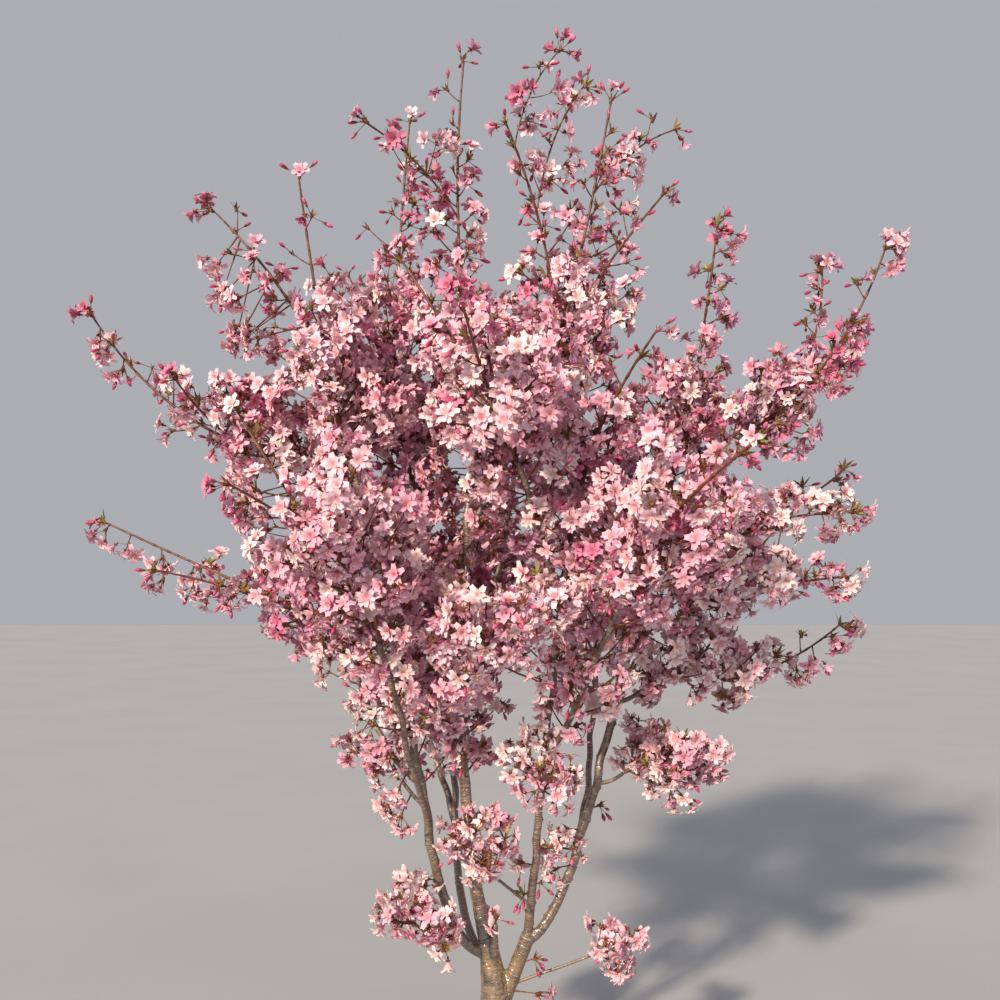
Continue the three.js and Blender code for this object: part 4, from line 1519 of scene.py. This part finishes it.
    def straightened(self, places: np.ndarray, frames: tuple[np.ndarray, ...]) -> tuple[np.ndarray, ...]:
        """Each place as if its limb were straight and upright.

        Args:
            places: Places on the skin.
            frames: What frames() gives.

        Returns:
            The straightened places, the limbs' radii there and the limbs' numbers.
        """
        middles, across, ups, alongs, distances, radii, numbers = frames
        nearest = np.empty(len(places), np.int64)
        for start in range(0, len(places), self.near_part):
            some = slice(start, start + self.near_part)
            part = places[some, None].astype(np.float32) - middles[None].astype(np.float32)
            nearest[some] = (np.linalg.norm(part, axis=2) - radii).argmin(axis=1)
        away = places - middles[nearest]
        sideways, upwards = (away * across[nearest]).sum(axis=1), (away * ups[nearest]).sum(axis=1)
        onwards = distances[nearest] + (away * alongs[nearest]).sum(axis=1)
        straight = np.stack([sideways, upwards, onwards], axis=1)
        return straight, radii[nearest], numbers[nearest].astype(np.int64)

    def relief(self, skin: np.ndarray, place: np.ndarray, girth: np.ndarray, names: np.ndarray) -> np.ndarray:
        """How far the bark stands out at each place on the skin.

        Args:
            skin: Places on the skin.
            place: The same places, straightened.
            girth: The limbs' radii there.
            names: The limbs' names there.

        Returns:
            A height for each place, in millimetres.
        """
        turn = np.arctan2(place[:, 1], place[:, 0])
        run = place[:, 2]
        stout = np.clip((girth - self.smooth_below) / self.smooth_over, 0, 1)
        band = np.sin(run / 1.9 + 1.5 * np.sin(turn + run / 23)) * np.sin(run / 5.3 + 2 * np.sin(turn * 2))
        lumps = np.sin(run / 9 + 2 * turn) * np.sin(run / 14 + np.cos(turn) * 2 + girth)
        rise = self.band_height * band * (0.4 + stout) + self.lump_height * lumps * stout
        fork = np.exp(-(((skin[:, 2] - self.fork_height) / self.fork_reach) ** 2))
        fissure = np.maximum(0, np.sin(6 * turn + 1.8 * np.sin(run / 11) + np.sin(run / 4))) ** 6
        rise -= self.crack_depth * fissure * (0.25 + fork) * stout
        for name, pitch in self.knob_pitch:
            wood = self.growth.limbs[name]
            rule = Rule(len(name) + int(pitch))
            count = int(self.knob_over * wood.length / pitch)
            for i in range(count):
                share = self.knob_from + self.knob_over * (i + 0.6 * rule.next()) / count
                side = (1 if i % 2 else -1) * (1 - 0.3 * rule.next())
                depth = 2 * rule.next() - 1.4
                middle = sway(wood.place(share))
                spot = middle + unit(np.array([side, depth, 0.1])) * wood.radius(share)
                size = self.knob_radius * rule.deal(self.knob_stretch)
                near = ((skin - spot) ** 2).sum(axis=1) / size**2
                rise += self.knob_height * np.exp(-near) * (names == name)
        return rise


def template(faces: list[tuple[bmesh.types.BMesh, int]]) -> Shape:
    """Joins small meshes into one shape, each with its own material."""
    shapes = []
    for bm, material in faces:
        shape = Shape.of(bm)
        shape.materials[:] = np.where(shape.materials > 0, shape.materials, material)
        shapes.append(shape)
    return Shape.joined(shapes)


def out_and_side(turn: float, width: float) -> tuple[Vector, Vector]:
    """The way out at a turn round +Z, and the way to its side at some width."""
    out = Vector((math.cos(turn), math.sin(turn), 0))
    return out, Vector((-out.y, out.x, 0)) * width


def cup(foot: float, rim: float, depth: float, middle: float = 0.0) -> bmesh.types.BMesh:
    """A five-sided cup that widens along +Z, its middle at some height."""
    bm = bmesh.new()
    bmesh.ops.create_cone(bm, cap_ends=True, segments=5, radius1=foot, radius2=rim, depth=depth)
    bmesh.ops.translate(bm, vec=(0, 0, middle), verts=bm.verts[:])
    return bm


@dataclass(frozen=True)
class Flower:
    """A semi-double cherry flower, in millimetres, that opens along +Z from where its petals meet."""

    openness: float
    seed: int
    petal_length: float = 14.2
    petal_width: float = 7.4
    inner_share: float = 0.8
    inner_rise: float = 22
    tilt_spread: float = 16
    turn_spread: float = 0.24
    length_stretch: Span = (0.92, 0.16)
    width_stretch: Span = (0.85, 0.25)
    most_curl: float = 0.18
    notch: float = 0.91
    tip_share: float = 0.62
    foot_width: float = 1.6
    widest: float = 0.6
    heart_share: float = 0.45
    stamens: int = 6
    stamen_length: float = 6.5
    stamen_lean: Span = (0.25, 0.35)
    stamen_stretch: Span = (0.8, 0.4)
    stamen_width: float = 0.55
    stalk_radius: float = 0.8
    calyx_length: float = 5.5
    calyx_radius: float = 2.1
    sepal_length: float = 5.0
    sepal_width: float = 1.3

    def petal(self, length: float, width: float, tilt: float, turn: float, curl: float) -> bmesh.types.BMesh:
        """One notched petal of four faces, hollow along its middle.

        Args:
            length: Its length.
            width: Its greatest width.
            tilt: How far it stands up from flat.
            turn: Its turn round the flower.
            curl: How far its tip bends back.

        Returns:
            The petal.
        """
        bm = bmesh.new()
        bmesh.ops.create_grid(bm, x_segments=2, y_segments=2, size=0.5)
        for vert in bm.verts:
            side, out = 2 * vert.co.x, vert.co.y + 0.5
            half = (self.foot_width, width, self.tip_share * width)[round(2 * out)] / 2
            reach = length * (out if out < 0.9 or side else self.notch)
            rise = 0.1 * length * math.sin(math.pi * min(out, 0.98)) - curl * out * out * length
            hollow = 0.11 * width * abs(side) * (out > 0.2)
            vert.co = (side * half, reach * (2 * self.widest if 0.2 < out < 0.8 else 1), rise + hollow)
        for face in bm.faces:
            face.material_index = int(face.calc_center_median().y < self.heart_share * length)
        matrix = Matrix.Rotation(turn, 3, "Z") @ Matrix.Rotation(tilt, 3, "X")
        bmesh.ops.rotate(bm, cent=(0, 0, 0), matrix=matrix, verts=bm.verts[:])
        return bm

    def shape(self) -> Shape:
        """The whole flower: outer and inner petals, stamens and calyx."""
        rule = Rule(self.seed)
        parts: list[tuple[bmesh.types.BMesh, int]] = []
        for layer, share in enumerate((1.0, self.inner_share)):
            for i in range(5):
                tilt = self.openness + self.inner_rise * layer + self.tilt_spread * (rule.next() - 0.5)
                turn = FULL_TURN * (i + 0.5 * layer + self.turn_spread * (rule.next() - 0.5)) / 5
                length = self.petal_length * share * rule.deal(self.length_stretch)
                width = self.petal_width * rule.deal(self.width_stretch) * share
                curl = self.most_curl * rule.next()
                parts.append((self.petal(length, width, math.radians(tilt), turn, curl), 0))
        parts.extend((self.stamen(FULL_TURN * i / self.stamens, rule), 2) for i in range(self.stamens))
        calyx = cup(self.stalk_radius, self.calyx_radius, self.calyx_length, -self.calyx_length / 2)
        parts.append((calyx, 3))
        parts.extend((self.sepal(FULL_TURN * (i + 0.5) / 5), 3) for i in range(5))
        return template(parts)

    def stamen(self, turn: float, rule: Rule) -> bmesh.types.BMesh:
        """One stamen, a narrow face that widens to its tip."""
        bm = bmesh.new()
        lean = rule.deal(self.stamen_lean)
        out, side = out_and_side(turn, self.stamen_width)
        tip = (out * lean + Vector((0, 0, 1))) * self.stamen_length * rule.deal(self.stamen_stretch)
        bm.faces.new([bm.verts.new(place) for place in (out * 0.5, tip - side, tip + side)])
        return bm

    def sepal(self, turn: float) -> bmesh.types.BMesh:
        """One pointed sepal, bent back under the petals."""
        bm = bmesh.new()
        out, side = out_and_side(turn, self.sepal_width)
        foot = out * self.calyx_radius * 0.7 - Vector((0, 0, 0.4))
        tip = out * (self.calyx_radius + self.sepal_length * 0.8) - Vector((0, 0, 0.5 * self.sepal_length))
        bm.faces.new([bm.verts.new(place) for place in (foot - side, foot + side, tip)])
        return bm


@dataclass(frozen=True)
class Bud:
    """A closed or swelling bud, in millimetres, that points along +Z from its calyx."""

    length: float = 9.5
    width: float = 5.6
    calyx_length: float = 4.5
    calyx_radii: tuple[float, float] = (0.8, 2.2)
    sunk: float = 0.8

    def shape(self) -> Shape:
        """The bud: a pointed egg on a small calyx."""
        egg = bmesh.new()
        bmesh.ops.create_uvsphere(egg, u_segments=5, v_segments=4, radius=0.5)
        for vert in egg.verts:
            height = vert.co.z + 0.5
            narrow = 1.15 - 0.55 * height
            vert.co = (vert.co.x * self.width * narrow, vert.co.y * self.width * narrow, height * self.length)
        calyx = cup(*self.calyx_radii, self.calyx_length, self.sunk - self.calyx_length / 2)
        return template([(egg, 0), (calyx, 1)])


@dataclass(frozen=True)
class LeafTuft:
    """A tuft of young leaves, in millimetres, that spreads along +Z."""

    leaves: int = 5
    length: float = 17
    width: float = 4.6
    spread: float = 38
    length_stretch: Span = (0.55, 0.55)
    spread_share: Span = (0.3, 0.9)

    def shape(self, seed: int) -> Shape:
        """Narrow folded leaves that stand round the tuft's axis."""
        rule = Rule(seed)
        parts = []
        for i in range(self.leaves):
            bm = bmesh.new()
            bmesh.ops.create_grid(bm, x_segments=2, y_segments=2, size=0.5)
            length = self.length * rule.deal(self.length_stretch)
            for vert in bm.verts:
                side, out = 2 * vert.co.x, vert.co.y + 0.5
                half = self.width * (0.25, 1.0, 0.12)[round(2 * out)] / 2
                vert.co = (side * half, 0.28 * half * abs(side) + 0.2 * length * out * out, out * length)
            tilt = math.radians(self.spread * rule.deal(self.spread_share))
            matrix = Matrix.Rotation(FULL_TURN * (i + 0.5 * rule.next()) / self.leaves, 3, "Z")
            matrix = matrix @ Matrix.Rotation(-tilt, 3, "X")
            bmesh.ops.rotate(bm, cent=(0, 0, 0), matrix=matrix, verts=bm.verts[:])
            parts.append((bm, 0))
        return template(parts)


@dataclass(frozen=True)
class BudScales:
    """The brown scales of an opened bud, in millimetres, from which an umbel springs along +Z."""

    scales: int = 5
    foot_radius: float = 1.3
    rim_radius: float = 2.2
    height: float = 5
    turned: float = 0.3
    half_width: float = 1.5
    foot_out: float = 1.4
    foot_rise: float = 0.5
    tip_out: float = 4.5
    tip_rise: float = 7.5
    tip_step: float = 1.5

    def shape(self) -> Shape:
        """The bud's foot as a cup and its pointed scales, some longer than others."""
        bm = cup(self.foot_radius, self.rim_radius, self.height)
        for i in range(self.scales):
            out, side = out_and_side(FULL_TURN * (i + self.turned) / self.scales, self.half_width)
            foot = out * self.foot_out + Vector((0, 0, self.foot_rise))
            rise = self.tip_rise - self.tip_step * (i % 3)
            tip = out * (self.tip_out + i % 2) + Vector((0, 0, rise))
            bm.faces.new([bm.verts.new(place) for place in (foot - side, foot + side, tip)])
        return Shape.of(bm)


@dataclass
class Stamp:
    """Places, ways, turns and sizes at which one template is set."""

    places: list[np.ndarray] = field(default_factory=list)
    ways: list[np.ndarray] = field(default_factory=list)
    turns: list[float] = field(default_factory=list)
    sizes: list[float] = field(default_factory=list)

    def add(self, place: np.ndarray, way: np.ndarray, turn: float, size: float) -> None:
        """Takes one more place."""
        self.places.append(place)
        self.ways.append(way)
        self.turns.append(turn)
        self.sizes.append(size)

    def of(self, shape: Shape) -> Shape:
        """The template at all its places."""
        turns = axes_along(np.array(self.ways), np.array(self.turns))
        return shape.stamped(np.array(self.places), turns, np.array(self.sizes))


class Crowding:
    """Remembers where flowers are, to keep their middles apart."""

    def __init__(self, room: float) -> None:
        """Starts with no flowers."""
        self.room = room
        self.cells: dict[tuple[int, int, int], list[np.ndarray]] = {}

    def cell(self, place: np.ndarray) -> tuple[int, int, int]:
        """The cell that a place is in."""
        return tuple(int(v) for v in np.floor(place / self.room))

    def admits(self, place: np.ndarray) -> bool:
        """Whether a flower may open here. If so, it is remembered."""
        x, y, z = self.cell(place)
        for i in (x - 1, x, x + 1):
            for j in (y - 1, y, y + 1):
                for k in (z - 1, z, z + 1):
                    for other in self.cells.get((i, j, k), ()):
                        if ((other - place) ** 2).sum() < self.room**2:
                            return False
        self.cells.setdefault((x, y, z), []).append(place)
        return True


@dataclass
class Blossom:
    """All that the twigs carry: flowers, buds, their stalks, leaf tufts and bud scales."""

    growth: Growth
    openings: tuple[float, ...] = (6, 14, 24, 34, 48, 62)
    flower_room: float = 12.2
    limb_room: float = 7.0
    pedicel: float = 15.0
    pedicel_radius: float = 0.55
    pedicel_stretch: Span = (0.75, 0.6)
    spread: Span = (38, 45)
    tip_spread: Span = (25, 45)
    tip_from: float = 0.9
    tries: int = 3
    closer: float = 0.35
    droop: tuple[float, float] = (0.3, 0.3)
    bud_droop: float = 0.6
    outward_way: float = 0.3
    outward_face: float = 0.25
    face_spread: float = 1.4
    nod: float = 1.1
    size: Span = (0.88, 0.26)
    shut: float = 0.8
    shut_outer: tuple[float, float] = (0.25, 0.45)
    foot_depth: float = 5
    bud_depth: float = 2.5
    stalk_bow: float = 0.6
    scale_size: Span = (0.9, 0.6)
    tuft_chance: tuple[float, float] = (0.3, 0.5)
    tuft_size: Span = (0.65, 0.6)
    tuft_rise: Triple = (0, 0, 0.4)
    tuft_kinds: int = 3
    green_share: float = 0.3
    crown_heart: Triple = (0.0, 0.0, 850.0)
    crown_reach: Triple = (420.0, 300.0, 420.0)
    # Below this height, which rises further to the right, umbels count as sunlit and get the paler tints of
    # painted sunlight.
    painted_sun_below: float = 560
    painted_sun_rise: float = 0.9
    painted_sun_right_of: float = 100
    painted_sun_light: float = 0.75
    deep_share: float = 0.05
    deep_share_outer: float = 0.35
    cream_from: float = 0.8
    # In the painted-sunlit part more pale umbels turn cream, a still paler painted sunlight.
    painted_sun_cream_from: float = 0.35
    fair: float = 0.52
    light_gain: float = 0.28
    chance_gain: float = 0.6
    outer_loss: float = 0.2
    pale_above: float = 0.55
    mid_above: float = 0.3
    limit: int = 190000
    seed: int = 7919
    flower_seed: int = 31
    tuft_seed: int = 17
    crowding: Crowding | None = None
    flowers: dict[tuple[Tint, int], Stamp] = field(default_factory=dict)
    buds: Stamp = field(default_factory=Stamp)
    tufts: dict[tuple[bool, int], Stamp] = field(default_factory=dict)
    scales: Stamp = field(default_factory=Stamp)
    stalks: list[Wood] = field(default_factory=list)

    def grow(self) -> None:
        """Deals out flowers, buds and tufts from every umbel."""
        self.crowding = Crowding(self.flower_room)
        rule = Rule(self.seed)
        for umbel in self.growth.umbels:
            place = sway(umbel.place)
            self.scales.add(place, umbel.way, rule.turn(), rule.deal(self.scale_size))
            tint = self.tint(place, umbel.outer, rule)
            dealt = self.members(umbel.outer, rule)
            flowers, buds = umbel.members or dealt
            phase = rule.turn()
            for i in range(flowers + buds):
                self.open_member(umbel, place, phase + i * GOLDEN_TURN, tint if i < flowers else None, rule)
            least, more = self.tuft_chance
            if rule.next() < least + more * umbel.outer:
                green = rule.next() < self.green_share
                way = unit(umbel.way + np.array(self.tuft_rise))
                key = (green, int(self.tuft_kinds * rule.next()))
                tufts = self.tufts.setdefault(key, Stamp())
                tufts.add(place, way, rule.turn(), rule.deal(self.tuft_size))

    def members(self, outer: float, rule: Rule) -> tuple[int, int]:
        """How many flowers and buds an umbel has, by how far out on a shoot it is."""
        chance = rule.next()
        dealt = next(rows for up_to, rows in MEMBERS if outer <= up_to)
        return next((flowers, buds) for up_to, flowers, buds in dealt if chance <= up_to)

    def tint(self, place: np.ndarray, outer: float, rule: Rule) -> Tint:
        """Deals a tint to an umbel: paler as painted sunlight where light reaches it, darker as painted shade
        where it does not, with some chance.
        """
        away = (place - np.array(self.crown_heart)) / np.array(self.crown_reach)
        light = float(away @ unit(np.array(LIGHT_WAY)))
        chance, deep = rule.next(), rule.next()
        # Umbels low down, and higher the further right they are, are taken as sunlit: painted sunlight sets
        # their tint.
        opened = place[2] < self.painted_sun_below + self.painted_sun_rise * max(0.0, place[0] - self.painted_sun_right_of)
        if opened:
            light = self.painted_sun_light
        elif deep < (self.deep_share if outer < 0.5 else self.deep_share_outer):
            return Tint.DEEP
        score = self.fair + self.light_gain * light
        score = score + self.chance_gain * (chance - 0.5) - self.outer_loss * outer
        if score > self.pale_above:
            return Tint.CREAM if deep > (self.painted_sun_cream_from if opened else self.cream_from) else Tint.PALE
        return Tint.MID if score > self.mid_above else Tint.MAUVE

    def open_member(
        self, umbel: Umbel, place: np.ndarray, turn: float, tint: Tint | None, rule: Rule
    ) -> None:
        """Opens one flower or bud on its stalk, where there is room.

        Args:
            umbel: The umbel.
            place: Where the umbel springs.
            turn: The member's turn round the umbel.
            tint: The flower's tint, or None for a bud.
            rule: The row of numbers.
        """
        spread = math.radians(rule.deal(self.tip_spread if umbel.outer > self.tip_from else self.spread))
        length = self.pedicel * rule.deal(self.pedicel_stretch)
        size, face, kind = rule.deal(self.size), rule.next(), rule.next()
        frame = axes_along(umbel.way[None], np.array([turn]))[0]
        outward = unit((place - np.array(self.crown_heart)) / np.array(self.crown_reach))
        least, more = self.droop
        droop = least + more * umbel.outer if tint else self.bud_droop
        for attempt in range(self.tries):
            tilt = spread * (1 - self.closer * attempt)
            way = frame @ np.array([math.sin(tilt), 0, math.cos(tilt)])
            way = unit(way + self.outward_way * outward - np.array([0, 0, droop]))
            middle = place + way * length
            if tint and not self.growth.clear_of_limbs(middle[None], self.limb_room):
                continue
            if tint and not self.crowding.admits(middle):
                continue
            foot = middle
            if tint:
                facing = way + self.outward_face * outward + self.face_spread * (face - 0.5) * frame[:, 1]
                facing = unit(facing - np.array([0, 0, self.nod * kind * kind]))
                open_less, shut_more = self.shut_outer
                shut = kind * (self.shut - open_less * umbel.outer) + shut_more * umbel.outer
                opening = min(int(shut * len(self.openings)), len(self.openings) - 1)
                self.flowers.setdefault((tint, opening), Stamp()).add(middle, facing, turn, size)
                foot = middle - facing * self.foot_depth * size
            else:
                self.buds.add(middle + way * self.bud_depth, way, turn, size)
            pull = place + way * self.stalk_bow * float(np.linalg.norm(foot - place))
            curve = np.array([place, pull, foot])
            self.stalks.append(Wood(curve, self.pedicel_radius, self.pedicel_radius))
            return

    def build(self) -> list[bpy.types.Object]:
        """Builds every piece of the blossom."""
        pieces = []
        stamen = Finish("stamens", (0.86, 0.66, 0.36), (0.84, 0.44, 0.34), 300, 0.6).material()
        calyx = Finish("calyx", (0.17, 0.022, 0.030), (0.28, 0.075, 0.045), 220, 0.5).material()
        shapes = [Flower(opening, self.flower_seed + i).shape() for i, opening in enumerate(self.openings)]
        # Apart from deep, each tint's finishes are a painted sunlit or painted shaded copy of one petal
        # material, with random tone mixed in.
        for tint in Tint:
            name, petal, heart = tint.value
            paler = tuple(min(1, 1.04 * c + 0.04) for c in petal)
            finishes = [
                Finish(f"petal_{name}", petal, paler, 70, 0.55, sheen=0.15).material(),
                Finish(f"petal_heart_{name}", heart, petal, 70, 0.55, sheen=0.15).material(),
                stamen,
                calyx,
            ]
            dealt = [(self.flowers.get((tint, i)), shape) for i, shape in enumerate(shapes)]
            whole = [stamp.of(shape) for stamp, shape in dealt if stamp]
            pieces.extend(self.pieces(f"blossom_{name}", whole, finishes))
        skin = [Finish("bud", (0.47, 0.030, 0.130), (0.68, 0.150, 0.290), 60, 0.45).material(), calyx]
        pieces.extend(self.pieces("buds", [self.buds.of(Bud().shape())], skin))
        stalk = Finish("flower_stalk", (0.20, 0.075, 0.035), (0.26, 0.16, 0.06), 150, 0.5).material()
        pieces.extend(self.pieces("flower_stalks", [tubes(self.stalks, 2, 3)], [stalk]))
        for green, name, first, second in (
            (False, "bronze", (0.20, 0.10, 0.028), (0.31, 0.22, 0.055)),
            (True, "green", (0.22, 0.24, 0.045), (0.36, 0.33, 0.09)),
        ):
            leaf = Finish(f"young_leaf_{name}", first, second, 160, 0.42).material()
            stamps = [(stamp, kind) for (leafy, kind), stamp in self.tufts.items() if leafy == green]
            whole = [stamp.of(LeafTuft().shape(self.tuft_seed + kind)) for stamp, kind in stamps]
            pieces.extend(self.pieces(f"young_leaves_{name}", whole, [leaf]))
        scale = Finish("bud_scale", (0.17, 0.045, 0.025), (0.27, 0.13, 0.05), 200, 0.5).material()
        pieces.extend(self.pieces("bud_scales", [self.scales.of(BudScales().shape())], [scale]))
        return pieces

    def pieces(
        self, name: str, shapes: list[Shape], finishes: list[bpy.types.Material]
    ) -> list[bpy.types.Object]:
        """Joins shapes into as few pieces as stay below the limit of triangles.

        Args:
            name: The pieces' name, to which a number is added where there are several.
            shapes: The shapes.
            finishes: The finishes, in the order that the faces name them.

        Returns:
            The pieces.
        """
        groups: list[list[Shape]] = [[]]
        for shape in shapes:
            if groups[-1] and sum(part.triangles() for part in groups[-1]) + shape.triangles() > self.limit:
                groups.append([])
            groups[-1].append(shape)
        return [
            placed(f"{name}_{i + 1}", Shape.joined(group).mesh(f"{name}_{i + 1}"), finishes)
            for i, group in enumerate(groups)
        ]


@dataclass
class Twigs:
    """The stems and shoots of the masses and all their twigs."""

    growth: Growth
    finish: Finish = Finish("twig_bark", (0.085, 0.026, 0.018), (0.25, 0.095, 0.052), 130, 0.36, 0.4, 1500)

    def build(self) -> list[bpy.types.Object]:
        """Builds the stems with their shoots, and the twigs."""
        material = self.finish.material()
        stems = [spray.wood for spray in self.growth.carriers]
        first = [spray.wood for spray in self.growth.sprays if spray.primary]
        fine = [spray.wood for spray in self.growth.sprays if not spray.primary]
        shapes = {
            "stems_and_shoots": tubes(stems, 40, 8, swell=0.35, slim=0.82),
            "twigs": tubes(first, 8, 5, swell=0.45, node_pitch=12),
            "fine_twigs": tubes(fine, 4, 4, swell=0.5, node_pitch=9),
        }
        return [placed(name, shape.mesh(name), [material]) for name, shape in shapes.items()]


@dataclass(frozen=True)
class Studio:
    """A plain pale floor, soft light from the left and front, and the photograph's camera."""

    floor_reach: float = 12
    floor_tones: tuple[Triple, Triple] = ((0.41, 0.42, 0.44), (0.43, 0.44, 0.46))
    key_spread: float = 4.0
    key_power: float = 4.4
    key_colour: Triple = (1.0, 0.86, 0.69)
    key_away: float = 3
    sky: float = 0.5
    sky_colour: Triple = (0.83, 0.84, 0.90)
    camera_away: float = 1.40
    camera_height: float = 0.727
    lens: float = 37.8
    sensor: float = 36
    shift: float = 0.068

    def build(self) -> None:
        """Sets floor, world, lamps and camera."""
        bm = bmesh.new()
        bmesh.ops.create_grid(bm, x_segments=1, y_segments=1, size=self.floor_reach)
        mesh = bpy.data.meshes.new("floor")
        bm.to_mesh(mesh)
        bm.free()
        pale = Finish("floor", *self.floor_tones, 2, 1.0)
        placed("floor", mesh, [pale.material()])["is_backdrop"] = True
        world = bpy.data.worlds.new("studio")
        bpy.context.scene.world = world
        world.use_nodes = True
        background = world.node_tree.nodes["Background"]
        background.inputs["Color"].default_value = (*self.sky_colour, 1)
        background.inputs["Strength"].default_value = self.sky
        light = bpy.data.lights.new("key", "SUN")
        light.angle = math.radians(self.key_spread)
        light.energy = self.key_power
        light.color = self.key_colour
        lamp = bpy.data.objects.new("key", light)
        lamp.location = [self.key_away * part for part in LIGHT_WAY]
        lamp.rotation_euler = Vector(LIGHT_WAY).to_track_quat("Z", "Y").to_euler()
        bpy.context.scene.collection.objects.link(lamp)
        camera = bpy.data.cameras.new("camera")
        camera.lens = self.lens
        camera.sensor_width = self.sensor
        camera.shift_y = self.shift
        seen = bpy.data.objects.new("camera", camera)
        seen.location = (0, -self.camera_away, self.camera_height)
        seen.rotation_euler = (math.pi / 2, 0, 0)
        bpy.context.scene.collection.objects.link(seen)
        bpy.context.scene.camera = seen
        bpy.context.scene.view_settings.view_transform = "Standard"


def main() -> None:
    """Grows the tree, builds its pieces in order and reports each one."""
    logging.basicConfig(level=logging.INFO, format="%(name)s %(message)s")
    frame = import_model()
    wooden = [name for name in frame["nodes"] if not name.startswith("blossom_")]
    masses = [name for name in frame["nodes"] if name.startswith("blossom_")]
    growth = Growth()
    growth.grow()
    log.info("growth: %d twigs, %d umbels", len(growth.sprays), len(growth.umbels))
    bark = Bark(growth).build()
    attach(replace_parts(bark, *wooden), "root")
    for piece in Twigs(growth).build():
        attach(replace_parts(piece, *masses), "root")
    blossom = Blossom(growth)
    blossom.grow()
    for piece in blossom.build():
        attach(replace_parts(piece, *masses), "root")
    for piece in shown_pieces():
        log.info("%s: %d faces", piece.name, len(piece.data.polygons))
    Studio().build()


if __name__ == "__main__":
    main()
